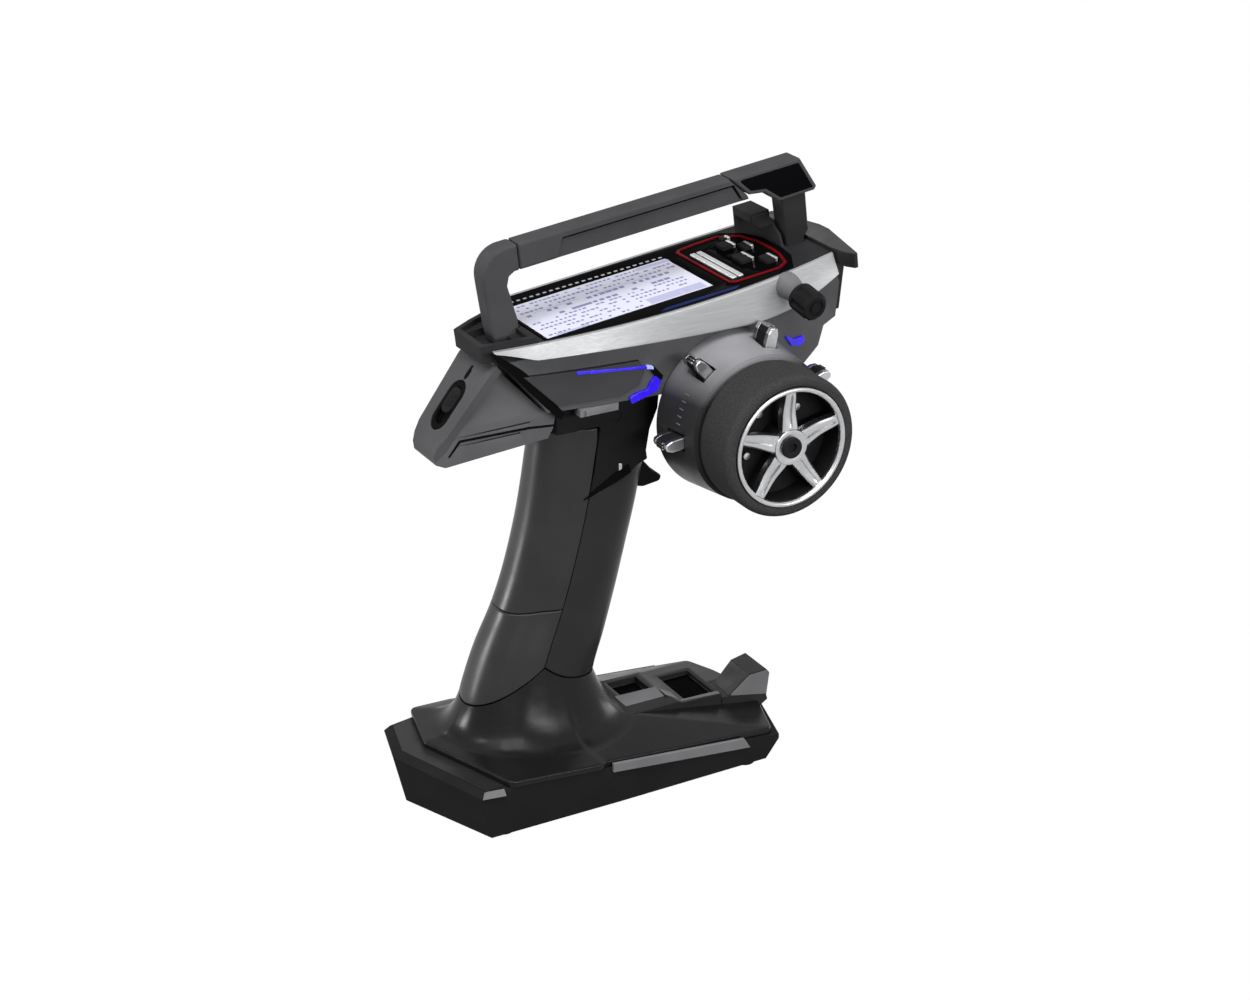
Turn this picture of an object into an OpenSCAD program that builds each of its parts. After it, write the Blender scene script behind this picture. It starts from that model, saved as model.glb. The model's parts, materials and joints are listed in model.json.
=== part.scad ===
// Pistol-grip radio transmitter with a steering wheel, a trigger and a carrying handle.
// Working frame of the modules: u forward from the wheel axis, v left from the centre plane, w up.

/* [Layout] */
// Nose-up pitch of the upper body, degrees
pitch = 7; // [0:0.5:12]
// Height of the upper body's floor above the ground
floor_w = 168; // [160:0.5:180]
// Height of the cover's top plane above that floor, over the wheel axis
cover_w = 38.9; // [36:0.1:44]
// Depth of the steering axis below that floor
axis_w = 11.6; // [10:0.2:14]
// Wall thickness of the moulded shells
wall = 2.2; // [1.6:0.1:3]

/* [Fits] */
// Gap between fixed pieces that seat in each other
seat_gap = 0.25; // [0.1:0.05:0.4]
// Gap round a piece that moves
move_gap = 0.4; // [0.3:0.05:0.7]
// Radial clearance of a running pin
run_gap = 0.05; // [0.02:0.01:0.1]

/* [Steering wheel] */
// Outer radius of the foam tyre
foam_r = 29; // [26:0.5:32]
// Radius of the foam's seat on the rim
rim_r = 24.4; // [22:0.2:25.5]
// Distance of the rim's front face from the centre plane
rim_front = 71.8; // [66:0.2:76]
// Width of the foam tyre
foam_width = 21.2; // [17:0.2:22]
// Number of spokes
spoke_count = 5; // [3:1:7]
// Width of a spoke at the centre
spoke_root_w = 8; // [5:0.5:10]
// Width of a spoke at the ring
spoke_tip_w = 4.8; // [3:0.2:6]
// Radius of the black bolt cap
cap_r = 4.2; // [3.6:0.1:5]
// Radius of the steering shaft
shaft_r = 3; // [2.4:0.1:3.4]
// Outer radius of the two shaft bearings
bearing_r = 6; // [5:0.1:7]
// Length of one bearing
bearing_len = 4; // [3:0.2:5]

/* [Hub housing] */
// Radius at the body side
hub_back_r = 33.3; // [32:0.1:34.5]
// Radius at the wheel side
hub_front_r = 30.4; // [29.8:0.1:31.6]
// Distance of the back face from the centre plane
hub_back = 25; // [24.8:0.1:26]
// Distance of the front face from the centre plane
hub_front = 48.6; // [46:0.1:48.8]
// Radius of the hollow inside
hub_hollow_r = 21.5; // [17:0.5:22]
// Depth of the steering box behind the hub
steer_box_depth = 15; // [12:0.5:16]
// Width of the steering box
steer_box_w = 40; // [34:1:44]

/* [Trim levers] */
// Radius of the lever pivots from the wheel axis
lever_pivot_r = 27; // [26.5:0.1:27.6]
// Radius of a lever's barrel
lever_barrel_r = 4; // [3.4:0.1:4.2]
// Reach of a lever from its pivot
lever_reach = 9.8; // [8:0.2:11]
// Thickness of a lever's paddle
lever_t = 4.6; // [3.6:0.2:5.2]
// Width of a lever along the axis
lever_w = 10.5; // [8:0.5:12]
// Radius of a lever's pin
lever_pin_r = 1.2; // [0.9:0.1:1.5]
// Angle of the first lever from straight ahead
lever_first = 21; // [15:1:26]
// Angle from one lever to the next
lever_step = 54.6; // [48:0.2:58]

/* [Upper body] */
// Greatest half width of the bright side band
band_half = 30.4; // [29.5:0.1:31]
// Station of the band's widest point
band_mid = -11; // [-16:1:-4]
// Curvature of the band's top edge
band_curve_top = 0.002; // [0.0016:0.0001:0.0022]
// Curvature of the band's lower edge
band_curve_low = 0.0011; // [0.0008:0.0001:0.0014]
// Thickness of the bright side band
band_t = 1.6; // [1.2:0.1:2]
// How far the band's lower edge lies below the cover's plane
band_low_w = 14.9; // [13.9:0.1:15.9]
// How far the side wall lies inside the band's lower edge
side_recess = 5.8; // [5.7:0.1:6.4]
// Half width of the left side
left_half = 32; // [29:0.2:32.4]
// Rear end of the top cover
cover_rear = 103; // [100:0.5:106]
// Front end of the top cover
cover_front = 49; // [46:0.5:52]
// Thickness of the top cover
cover_t = 5; // [4:0.2:6]
// Height of the rim round the cover's rear end
rim_h = 2.2; // [1.5:0.1:3]
// Reach of the nose in front of the wheel axis
nose_u = 60.3; // [58:0.1:63]
// Half width of the nose's corners
nose_half = 33; // [32:0.2:34]

/* [Display and keys] */
// Rear end of the screen
screen_rear = 77.5; // [74:0.5:78]
// Length of the screen
screen_len = 73.6; // [66:0.5:74]
// Right edge of the screen
screen_right = 18; // [17:0.2:18.2]
// Width of the screen
screen_wide = 37.7; // [32:0.5:40]
// Height of the keys above the panel
key_proud = 1.4; // [0.9:0.1:2]
// Travel of a key
key_travel = 0.7; // [0.4:0.1:0.9]
// Width of the red outline
ring_line = 1.2; // [0.8:0.1:1.6]

/* [Carrying handle] */
// Underside of the bar above the cover
bar_low = 24.4; // [22:0.2:27]
// Height of the bar
bar_h = 10.8; // [9:0.2:12]
// Thickness of the bar across
bar_t = 9; // [7:0.5:11]
// Rear seam of the bar
bar_rear = 78.5; // [75:0.5:80]
// Front end of the bar at its end block
bar_front = 20; // [16:0.5:22]
// Thickness of the front end block
end_t = 10.4; // [9:0.2:12]
// Width of the front post
post_w = 8.4; // [7:0.2:10]
// Radius of the aerial inside the bar
aerial_r = 1.5; // [1:0.1:2]

/* [Grip] */
// Half width of the grip
grip_half = 15.2; // [14:0.2:17]
// Thickness of the rubber and the front wall
grip_t = 2.4; // [1.8:0.1:3]
// Height of the joint between the two rubbers
rubber_joint_w = 80; // [74:1:86]
// Depth of the spine's upper end below the upper body's floor
grip_top_w = 60; // [58:0.5:62]
// Half width of the neck above the grip
neck_half = 14.4; // [13:0.2:15]

/* [Trigger] */
// Width of the trigger
trigger_w = 12.6; // [10:0.2:14]
// Station of the pivot behind the wheel axis
pivot_u = 45; // [43:0.5:47]
// Depth of the pivot below the upper body's floor
pivot_w = 10; // [8:0.5:12]
// Radius of the pivot pin
pivot_r = 2; // [1.5:0.1:2.5]

/* [Rear pod] */
// Half width of the pod at its tip
pod_tip_half = 12; // [11:0.5:13]
// Half width of the pod at the neck
pod_neck_half = 17; // [16:0.5:18]
// Width of the power switch
switch_w = 7; // [5:0.2:8]
// Length of the power switch
switch_len = 11; // [8:0.5:12]
// Travel of the power switch
switch_travel = 4.5; // [2:0.5:5]

/* [Base] */
// Right side of the tray from the centre plane
base_right = 42; // [38:0.5:46]
// Left side of the tray from the centre plane
base_left = 30; // [27:0.5:31]
// Rear tip of the tray behind the wheel axis
base_rear = 139.4; // [136:0.2:143]
// Front tip of the tray before the wheel axis
base_front = 28; // [25:0.5:31]
// Height of the joint between tray and deck at the wheel axis
split_w = 14; // [13:0.5:16]
// Fall of that joint towards the front
split_fall = 0.08; // [0.06:0.005:0.1]
// Thickness of the deck's edge
deck_edge = 3; // [2.4:0.1:3.6]
// Height of the deck round the grip
deck_w = 28; // [27:0.5:31]
// Height of the rubber feet
foot_h = 1.4; // [1:0.2:2.4]
// Radius of the rubber feet
foot_r = 4.5; // [3.5:0.1:5]
// Length of the battery
battery_len = 58; // [50:1:58]
// Width of the battery
battery_w = 30; // [24:1:32]
// Height of the battery
battery_h = 9; // [7:0.5:9]

/* [Dial] */
// Radius of the dial's knob
dial_r = 5.8; // [5:0.1:6.4]
// Length of the dial's knob
dial_len = 10.5; // [8:0.5:12]
// Number of finger grooves
dial_grooves = 6; // [4:1:9]
// Downward tilt of the dial's axis, degrees
dial_tilt = 9; // [0:1:14]

/* [Hidden] */
$fn = 48;
cover_at = floor_w + cover_w;
axis_at = floor_w - axis_w;
hinge_at = floor_w - pivot_w;
grip_top_at = floor_w - grip_top_w;
cap_front = rim_front + 0.4;
frame_u = (base_rear - nose_u) / 2;
wing_left = 2.6;
reach_left = base_left + wing_left;
frame_v = (cap_front - reach_left) / 2;
charcoal = "#454547";
slate = "#5c5c60";
black = "#1c1c1e";
bright = "#b9bbbd";
blue = "#2a18d8";
red = "#b01c26";

// Frames and placing
module place() translate([frame_u, frame_v, 0]) children();
module pitched() place() translate([0, 0, cover_at]) rotate([0, -pitch, 0]) children();
module on_axis() place() translate([0, 0, axis_at]) rotate([90, 0, 0]) children();
// Side profiles are drawn as (u, w) and run from the right side v0 to the left side v1.
module across(v0, v1) translate([0, v1, 0]) rotate([90, 0, 0]) linear_extrude(v1 - v0) children();

function from_pitched(s, n) = [
  s * cos(pitch) - n * sin(pitch),
  cover_at + s * sin(pitch) + n * cos(pitch)
];
function to_n(u, w) = -u * sin(pitch) + (w - cover_at) * cos(pitch);
function mix(a, b, t) = a + (b - a) * t;
function steps(a, b, count) = [for (i = [0 : count]) mix(a, b, i / count)];
// Point where the lines through p, q and through r, s cross
function crossing(p, q, r, s) =
  let (a = q - p, b = s - r, d = a[0] * b[1] - a[1] * b[0])
  p + a * (((r - p)[0] * b[1] - (r - p)[1] * b[0]) / d);
function shifted(p, q, d) =
  let (e = q - p, n = [-e[1], e[0]] / norm(e)) [p + n * d, q + n * d];
// Outline moved inwards by d, for points that run counterclockwise
function inset(pts, d) = [
  for (i = [0 : len(pts) - 1])
    let (
      before = shifted(pts[(i + len(pts) - 1) % len(pts)], pts[i], d),
      after = shifted(pts[i], pts[(i + 1) % len(pts)], d)
    )
    crossing(before[0], before[1], after[0], after[1])
];

// Closed wall between two grids of points, an outer and an inner one of the same size
module wall_between(outer, inner) {
  rows = len(outer);
  cols = len(outer[0]);
  half = rows * cols;
  function at(k, i, j) = k * half + i * cols + j;
  points = concat([for (r = outer, p = r) p], [for (r = inner, p = r) p]);
  skin = [for (i = [0 : rows - 2], j = [0 : cols - 2])
    each [[at(0, i, j), at(0, i + 1, j), at(0, i + 1, j + 1)],
      [at(0, i, j), at(0, i + 1, j + 1), at(0, i, j + 1)],
      [at(1, i, j), at(1, i + 1, j + 1), at(1, i + 1, j)],
      [at(1, i, j), at(1, i, j + 1), at(1, i + 1, j + 1)]]];
  ends = [for (j = [0 : cols - 2])
    each [[at(0, 0, j), at(0, 0, j + 1), at(1, 0, j + 1)], [at(0, 0, j), at(1, 0, j + 1), at(1, 0, j)],
      [at(0, rows - 1, j), at(1, rows - 1, j + 1), at(0, rows - 1, j + 1)],
      [at(0, rows - 1, j), at(1, rows - 1, j), at(1, rows - 1, j + 1)]]];
  sides = [for (i = [0 : rows - 2])
    each [[at(0, i, 0), at(1, i, 0), at(1, i + 1, 0)], [at(0, i, 0), at(1, i + 1, 0), at(0, i + 1, 0)],
      [at(0, i, cols - 1), at(1, i + 1, cols - 1), at(1, i, cols - 1)],
      [at(0, i, cols - 1), at(0, i + 1, cols - 1), at(1, i + 1, cols - 1)]]];
  polyhedron(points, concat(skin, ends, sides), convexity = 6);
}

// Solid through a stack of closed rings, each counterclockwise seen from above
module stack(rings) {
  n = len(rings[0]);
  last = len(rings) - 1;
  sides = [for (i = [0 : last - 1], j = [0 : n - 1]) let (k = (j + 1) % n)
    each [[i * n + j, (i + 1) * n + j, (i + 1) * n + k], [i * n + j, (i + 1) * n + k, i * n + k]]];
  polyhedron([for (r = rings, p = r) p],
    concat(sides, [[for (j = [0 : n - 1]) j]], [[for (j = [n - 1 : -1 : 0]) last * n + j]]),
    convexity = 6);
}

// Ring-shaped shell: closed rings that lead round from the outside to the inside
module loop_shell(rings) {
  n = len(rings[0]);
  m = len(rings);
  faces = [for (i = [0 : m - 1], j = [0 : n - 1]) let (k = (j + 1) % n, h = (i + 1) % m)
    each [[i * n + j, h * n + j, h * n + k], [i * n + j, h * n + k, i * n + k]]];
  polyhedron([for (r = rings, p = r) p], faces, convexity = 8);
}

// Side edges of the upper body, right side negative
function edge_top(u) = -(band_half - band_curve_top * pow(u - band_mid, 2));
function edge_low(u) = -(band_half + 0.2 - band_curve_low * pow(u - band_mid, 2));
band_rear = -99;
band_front = cover_front - 0.1;
band_rise_u = 2;
function low_w(u) = cover_at - band_low_w + (u > band_rise_u ? 0.0058 * pow(u - band_rise_u, 2) : 0);
function low_n(u) = min(to_n(u, low_w(u)), -3);
function right_in(u) = edge_top(u) + band_t + seat_gap + 0.25;
left_in = left_half - band_t - seat_gap;
left_rear = [-94, 16];
left_turn = -69;

// Base
base_mid = (base_left - base_right) / 2;
function split_at(u) = split_w - split_fall * u;
function tray_outline(d) = [
  [-base_rear + d * 0.8, 2], [-122 + d * 0.8, -base_right - 0.8 + d * 0.25], [-60, -base_right + d * 0.1],
  [17 - d * 0.8, -base_right + d * 0.25], [base_front - d, base_mid],
    [17 - d * 0.8, base_left - d * 0.25],
  [-60, base_left - d * 0.1], [-116 + d * 0.9, base_left - d * 0.2], [-133 + d, 25 - d * 0.3]
];
tray_taper = 6.4;
tray_floor_t = 2.6;
tray_rim_h = 2.2;
shelf_t = 2.4;
// Upper edge of the tray, chamfered at the rear
tray_rim_in = [[2.6, 0], [2.2, 0.9], [0, 0], [0, 0], [0, 0], [0, 0], [0, 0], [1, -0.9], [2.2, -1]];
function tray_rim() = tray_outline(0) + tray_rim_in;
door_front = 14.6;
door_rear = -64;
door_right = -27;
door_left = 13;
door_lip = 2;
door_lip_h = 1.2;
battery_rear = -60;
foot_at = [[-109, -base_right + 6.4], [4, -base_right + 6.4], [-109, base_left - 7], [4, base_left - 7]];
screw_at = [[-90, -base_right + 9], [-30, -base_right + 8], [-90, base_left - 8], [-30, base_left - 7]];
screw_head_r = 2.6;
function split_ring(outline, drop) = [for (p = outline) [p[0], p[1], split_at(p[0]) - drop]];
function flat_ring(outline, w) = [for (p = outline) [p[0], p[1], w]];

// Inside of the tray, open at the top only under the deck
module tray_hollow() intersection() {
  hollow = inset(tray_outline(tray_taper), wall);
  stack([flat_ring(hollow, foot_h + tray_floor_t), split_ring(hollow, -1)]);
  union() {
    across(-80, 80) polygon([[-200, 0], [80, 0], [80, split_at(80) - shelf_t],
      [-200, split_at(-200) - shelf_t]]);
    linear_extrude(60) polygon(inset(deck_outline(), wall + 0.1));
  }
}

module door_space(gap) {
  translate([door_rear - gap, door_right - gap, foot_h - 1])
    cube([base_front - door_rear + gap + 1, door_left - door_right + 2 * gap, tray_floor_t + 2]);
}

module base_tray() color(black) place() difference() {
  stack([flat_ring(tray_outline(tray_taper), foot_h), split_ring(tray_outline(0), tray_rim_h),
    split_ring(tray_rim(), 0)]);
  tray_hollow();
  difference() {
    door_space(seat_gap);
    for (v = [door_right - seat_gap - 1, door_left + seat_gap - door_lip])
      translate([door_rear - 2, v, foot_h - 2])
        cube([base_front - door_rear + 10, door_lip + 1, 2 + door_lip_h]);
    translate([door_rear - 5, door_right - 5, foot_h + tray_floor_t])
      cube([160, door_left - door_right + 10, 5]);
  }
  for (p = screw_at) translate([p[0], p[1], foot_h - 1])
    cylinder(r = screw_head_r + seat_gap, h = tray_floor_t + 2);
}

// The door's front end follows the tray's bottom edge
function door_plan(right, left) = [[door_rear, right], [door_front, right],
  [base_front - tray_taper - 0.6, base_mid],
  [door_front, left], [door_rear, left]];
module battery_door() color(charcoal) place() {
  inner = door_lip + seat_gap;
  translate([0, 0, foot_h]) linear_extrude(door_lip_h + 0.2)
    polygon(door_plan(door_right + inner, door_left - inner));
  translate([0, 0, foot_h + door_lip_h + 0.1]) linear_extrude(tray_floor_t - door_lip_h - 0.2)
    polygon(door_plan(door_right, door_left));
}

module battery_pack() color("#3d5a8c") place()
  translate([battery_rear, (door_right + door_left - battery_w) / 2, foot_h + tray_floor_t + 0.1])
    cube([battery_len, battery_w, battery_h]);

module base_feet() color(black) place() for (p = foot_at) translate([p[0], p[1], 0])
  cylinder(r1 = foot_r - 0.5, r2 = foot_r, h = foot_h);

module base_screws() color(bright) place() for (p = screw_at)
  translate([p[0], p[1], foot_h + 0.6]) difference() {
  union() {
    cylinder(r = screw_head_r, h = tray_floor_t - 0.6 + 0.4);
    cylinder(r = 1.2, h = split_at(p[0]) - foot_h - 1);
  }
  translate([0, 0, -1]) cylinder(r = 1.2, h = 1.9, $fn = 6);
}

// Grip: stations of the rear and front line on the centre plane, by height
grip_rear_line = [[30, -110.6], [38, -109], [46, -107], [62, -101.2], [79, -93.2], [96, -87],
  [121, -80.6],
  [150, -75.8]];
grip_front_line = [[30, -47], [38, -51], [46, -51.4], [62, -46.2], [79, -41], [96, -36.6], [121, -30.4],
  [150, -24.4]];
grip_half_line = [[30, grip_half + 3], [46, grip_half + 2.2], [62, grip_half + 1.4],
  [79, grip_half + 0.2],
  [121, grip_half], [150, grip_half - 0.8]];
grip_power = 2.5;
grip_seam_a = 104;
function grip_mid(w) = (lookup(w, grip_rear_line) + lookup(w, grip_front_line)) / 2;
function grip_len(w) = (lookup(w, grip_front_line) - lookup(w, grip_rear_line)) / 2;
function oval_r(a, h, k, p) = 1 / pow(pow(abs(cos(a)) / h, p) + pow(abs(sin(a)) / k, p), 1 / p);
// Point of the grip's section at height w, seen at angle a from straight ahead, moved inwards by d
function grip_at(a, w, d) =
  let (r = oval_r(a, grip_len(w) - d, lookup(w, grip_half_line) - d, grip_power))
  [grip_mid(w) + r * cos(a), r * sin(a), w];
skirt_top_w = 46;
rubber_rear_w = 41;
rubber_seam_w = 57;
rubber_top_w = floor_w - 13.2;
rubber_low = function(a)
  let (t = abs(a - 180) / (180 - grip_seam_a)) mix(rubber_rear_w, rubber_seam_w, pow(t, 1.6));

// Height of the joint between the grip and the deck's skirt, by angle
root_low = function(a)
  let (b = abs(a > 180 ? 360 - a : a))
  b > grip_seam_a ? rubber_low(b) : mix(skirt_top_w, rubber_seam_w, pow(b / grip_seam_a, 2));
skirt_gap = 0.45;

module grip_sheet(angles, low, high, rows, d0, d1) wall_between(
  [for (i = [0 : rows]) [for (a = angles) let (w = mix(low(a), high(a), i / rows)) grip_at(a, w, d0)]],
  [for (i = [0 : rows]) [for (a = angles) let (w = mix(low(a), high(a), i / rows)) grip_at(a, w, d1)]]);

rear_angles = steps(grip_seam_a, 360 - grip_seam_a, 22);
front_angles = steps(-grip_seam_a + 0.8, grip_seam_a - 0.8, 22);

module grip_rubber() color(black) place() grip_sheet(rear_angles, function(a) rubber_joint_w + 0.15,
  function(a) rubber_top_w, 12, 0, grip_t);

module palm_rubber() color(black) place() grip_sheet(rear_angles, rubber_low,
  function(a) rubber_joint_w - 0.15, 10, 0, grip_t);

// The grip's front wall ends in a line that climbs towards the front
neck_line = [[-64, floor_w - 43.6], [-30, floor_w - 30.4]];
function neck_low(u) =
  mix(neck_line[0][1], neck_line[1][1], (u - neck_line[0][0]) / (neck_line[1][0] - neck_line[0][0]));
front_top = function(a) neck_low(grip_at(a, floor_w - 38, 0)[0]) - 0.9;
module grip_front() color(black) place() difference() {
  grip_sheet(front_angles, root_low, front_top, 14, 0, grip_t);
  translate([-50, -slot_half - 0.6, grip_top_at + 1]) cube([60, 2 * slot_half + 1.2, 60]);
}

// Deck with the skirt that runs up into the grip
skirt_reach = 20;
function deck_outline() = [
  [-126, 1], [-117, -22], [-109, -base_right - 1.4], [-68, -base_right - 1.4], [-65, -base_right + 0.4],
  [-30, -base_right + 0.4], [14, -base_right + 1], [20, -base_right + 18], [base_front - 2, base_mid],
  [20, base_left - 14], [14, base_left - 1], [-30, base_left - 0.4], [-65, base_left - 0.4],
  [-68, base_left + 1.4], [-100, reach_left], [-118.5, base_left + 0.8], [-123, 13]
];
function dense(pts, k) = [
  for (i = [0 : len(pts) - 1], j = [0 : k - 1]) mix(pts[i], pts[(i + 1) % len(pts)], j / k)
];
function skirt_angle(p) = atan2(p[1], p[0] - grip_mid(skirt_top_w));
// Point between the grip's root and the deck's edge; t is the share of the skirt's reach
function skirt_at(p, t, d) =
  let (
    root_w = root_low(skirt_angle(p)) - skirt_gap,
    root = grip_at(skirt_angle(p), root_w, d),
    out = [p[0], p[1]] - [root[0], root[1]],
    reach = min(skirt_reach, 0.75 * norm(out)),
    xy = [root[0], root[1]] + out / norm(out) * reach * t,
    edge_w = split_at(p[0]) + deck_edge,
    far_w = mix(deck_w, edge_w, reach / norm(out)),
    curve = pow(1 - t, 2.6)
  )
  [xy[0], xy[1], mix(far_w, root_w, curve) - d * (1 - curve)];
module deck_skin() {
  edge = dense(deck_outline(), 3);
  lip = inset(deck_outline(), wall + 0.4);
  lip_edge = dense(lip, 3);
  shares = [1, 0.72, 0.48, 0.3, 0.16, 0.06, 0];
  loop_shell(concat(
    [[for (p = edge) [p[0], p[1], split_at(p[0])]],
      [for (p = edge) [p[0], p[1], split_at(p[0]) + deck_edge]]],
    [for (t = shares) [for (p = edge) skirt_at(p, t, 0)]],
    [for (t = [0, 0.16, 0.48, 1]) [for (p = edge) skirt_at(p, t, wall)]],
    [[for (p = lip_edge) [p[0], p[1], split_at(p[0]) + deck_edge - wall]],
      [for (p = lip_edge) [p[0], p[1], split_at(p[0])]]]
  ));
}

inlay_rear = -42;
inlay_front = 4;
inlay_right = -17;
inlay_left = 10.5;
inlay_top = 27.6;
inlay_step = -21;
bumper_front = 27;
bumper_right = -17;
bumper_left = 1;
module front_space(gap) {
  translate([inlay_rear - gap, inlay_right - gap, 5])
    cube([inlay_front - inlay_rear + gap, inlay_left - inlay_right + 2 * gap, 40]);
  translate([inlay_front - 0.1, bumper_right - gap, 5])
    cube([base_front, bumper_left - bumper_right + 2 * gap, 40]);
}

module base_deck() color(charcoal) place() difference() {
  deck_skin();
  front_space(seat_gap);
}

module deck_inlay() color(slate) place() difference() {
  across(inlay_right, inlay_left) polygon([[inlay_rear, split_at(inlay_rear)],
    [inlay_front - seat_gap, split_at(inlay_front)],
    [inlay_front - seat_gap, inlay_top - 4.2], [inlay_step + 6, inlay_top - 3.6],
    [inlay_step, inlay_top - 0.4], [inlay_rear + 2, inlay_top], [inlay_rear, inlay_top - 1]]);
  translate([inlay_rear + wall, inlay_right + wall, 0])
    cube([inlay_front - inlay_rear - 2 * wall - seat_gap, inlay_left - inlay_right - 2 * wall,
      inlay_top - 8.4]);
  // Broad chamfer beside the rear window
  translate([inlay_rear - 1, 0, inlay_top]) rotate([90, 0, 90]) linear_extrude(inlay_step - inlay_rear + 7)
    polygon([[inlay_right + 12, 0.1], [inlay_right - 1, -2.7], [inlay_right - 1, 5], [inlay_right + 12, 5]]);
  // Rear and front window
  translate([inlay_rear + 4, inlay_right + 12.4, inlay_top - 3.2])
    cube([14, inlay_left - inlay_right - 15, 10]);
  translate([inlay_step + 8, inlay_right + 3, inlay_top - 6])
    cube([inlay_front - inlay_step - 10.4, inlay_left - inlay_right - 5.6, 10]);
}

module front_bumper() color(charcoal) place() difference() {
  across(bumper_right, bumper_left) polygon([[inlay_front, split_at(inlay_front)],
    [base_front - 5, split_at(base_front - 5)], [base_front - 1, split_at(base_front) + 3],
    [bumper_front - 0.7, 17], [bumper_front + 0.6, 27.2], [bumper_front - 1, 29.3],
    [inlay_front + 13.4, 29.1], [inlay_front + 11.4, 27.6], [inlay_front + 3.4, 21.6],
    [inlay_front, 21.4]]);
  // Chamfer towards the left
  translate([0, bumper_left, 0]) rotate([0, 0, 14]) translate([-10, -7, 20]) cube([60, 30, 30]);
}

rail_rear = -63;
rail_front = -1;
rail_t = 1.5;
module side_rails() color(slate) place() for (v = [-base_right - rail_t - 0.15, base_left + 0.15])
  translate([0, v, 0])
    across(0, rail_t) polygon([[rail_rear, split_at(rail_rear) - 1.8],
      [rail_front + 3, split_at(rail_front) - 3.2],
      [rail_front, split_at(rail_front) + 1.8], [rail_rear, split_at(rail_rear) + 2.2]]);

// Spine inside the grip, from the tray to the neck
spine_w = 16;
spine_deep = 22;
module grip_spine() color(black) place() difference() {
  spine_form(spine_deep / 2, spine_w / 2, foot_h + tray_floor_t, grip_top_at);
  spine_form(spine_deep / 2 - wall, spine_w / 2 - wall, 0, grip_top_at + 1);
}
module spine_form(h, k, low, high) stack([for (w = [low, skirt_top_w, rubber_joint_w, high])
  let (m = grip_mid(max(w, 30))) [[m - h, -k, w], [m + h, -k, w], [m + h, k, w], [m - h, k, w]]]);

// Neck between the grip and the upper body, slotted for the trigger
slot_half = trigger_w / 2 + move_gap;
// Rear edge of the neck's cheeks, just before the rubber's seam
function neck_rear(w) = grip_at(grip_seam_a, w, 0)[0] + 1.2;
module neck_block() color(charcoal) place() difference() {
  low = floor_w - 43;
  mid = floor_w - 30;
  across(-neck_half, neck_half) polygon([[neck_rear(low), neck_low(neck_rear(low))], [-31, neck_low(-31)],
    [-31.6, floor_w - 27], [-30, floor_w - 18], [-26.5, floor_w - 10], [-25.5, floor_w - seat_gap],
    [-72, floor_w - seat_gap], [-72, rubber_top_w + 0.4], [neck_rear(rubber_top_w), rubber_top_w + 0.4],
    [neck_rear(mid), mid]]);
  // Trigger slot, open to the front
  translate([-pivot_u - 15, -slot_half, grip_top_at - 1]) cube([60, 2 * slot_half, 80]);
  place_pivot() translate([0, 0, -30]) cylinder(r = pivot_r, h = 60);
}
module place_pivot() translate([-pivot_u, 0, hinge_at]) rotate([90, 0, 0]) children();

module trigger() color(black) place() difference() {
  union() {
    across(-trigger_w / 2, trigger_w / 2) polygon([[-pivot_u, hinge_at - 3], [-pivot_u, hinge_at + 4],
      [-29, hinge_at + 4], [-25.5, hinge_at], [-28.2, hinge_at - 8], [-29.6, hinge_at - 17],
      [-28, hinge_at - 25.4], [-23.6, hinge_at - 30.6], [-19.4, hinge_at - 33.8], [-20.4, hinge_at - 36],
      [-28, hinge_at - 37], [-34, hinge_at - 35.4], [-38, hinge_at - 28], [-39.5, hinge_at - 13]]);
    place_pivot() translate([0, 0, -trigger_w / 2]) cylinder(r = 5, h = trigger_w);
  }
  place_pivot() translate([0, 0, -30]) cylinder(r = pivot_r + run_gap, h = 60);
}

module trigger_pin() color(bright) place() place_pivot() translate([0, 0, -neck_half + 0.6])
  cylinder(r = pivot_r, h = 2 * neck_half - 1.2);

module trigger_spring() color(bright) place() place_pivot() for (side = [0, 1]) mirror([0, 0, side])
  translate([0, 0, trigger_w / 2 + 0.05]) difference() {
    cylinder(r = pivot_r + 0.9, h = move_gap - 0.1);
    translate([0, 0, -1]) cylinder(r = pivot_r + run_gap, h = 3);
  }

module trigger_sensor() color("#2d6b3f") place()
  translate([-pivot_u - 15 + 0.2, -slot_half + 0.2, hinge_at - 8]) cube([5, 2 * slot_half - 0.4, 14]);

// Upper body shells
function body_plan(d) = concat(
  [for (u = [-97, -78, -58, -38, -18, 2, 22, 40, 56]) [u, edge_low(u) + side_recess + d]],
  [[56, left_in - 2.5 - d], [-72, left_in - 2.5 - d], [-97, 13.5 - d]]);
under_rear = from_pitched(-96.5, -cover_t);
under_front = from_pitched(cover_front + 1, -cover_t);
body_profile = [
  [-78.2, floor_w], [37, floor_w], [44, floor_w + 6], [46.5, floor_w + 14], [52.5, cover_at - 22.3],
  [54, cover_at - 7.9],
  [under_front[0], under_front[1]], [under_rear[0], under_rear[1]]
];

module body_form(d) intersection() {
  translate([0, 0, 100]) linear_extrude(150) polygon(body_plan(d));
  across(-60, 60) polygon(d == 0 ? body_profile : inset(body_profile, d));
}
module body_hollow() {
  body_form(wall);
  // Open top under the cover
  intersection() {
    translate([0, 0, 100]) linear_extrude(150) polygon(body_plan(wall));
    across(-60, 60) polygon([[-85, cover_at - 20.9], [45, cover_at - 6.9], [45, cover_at + 18],
      [-85, cover_at + 18]]);
  }
}
module dial_axis() translate([23.4, -27.9, cover_at - 1.5]) rotate([90 + dial_tilt, 0, 0]) children();
// Slot through the floor where the trigger reaches up
module floor_slot() translate([-pivot_u - 16, -slot_half, floor_w - 1])
  cube([42, 2 * slot_half, wall + 2]);

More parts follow.
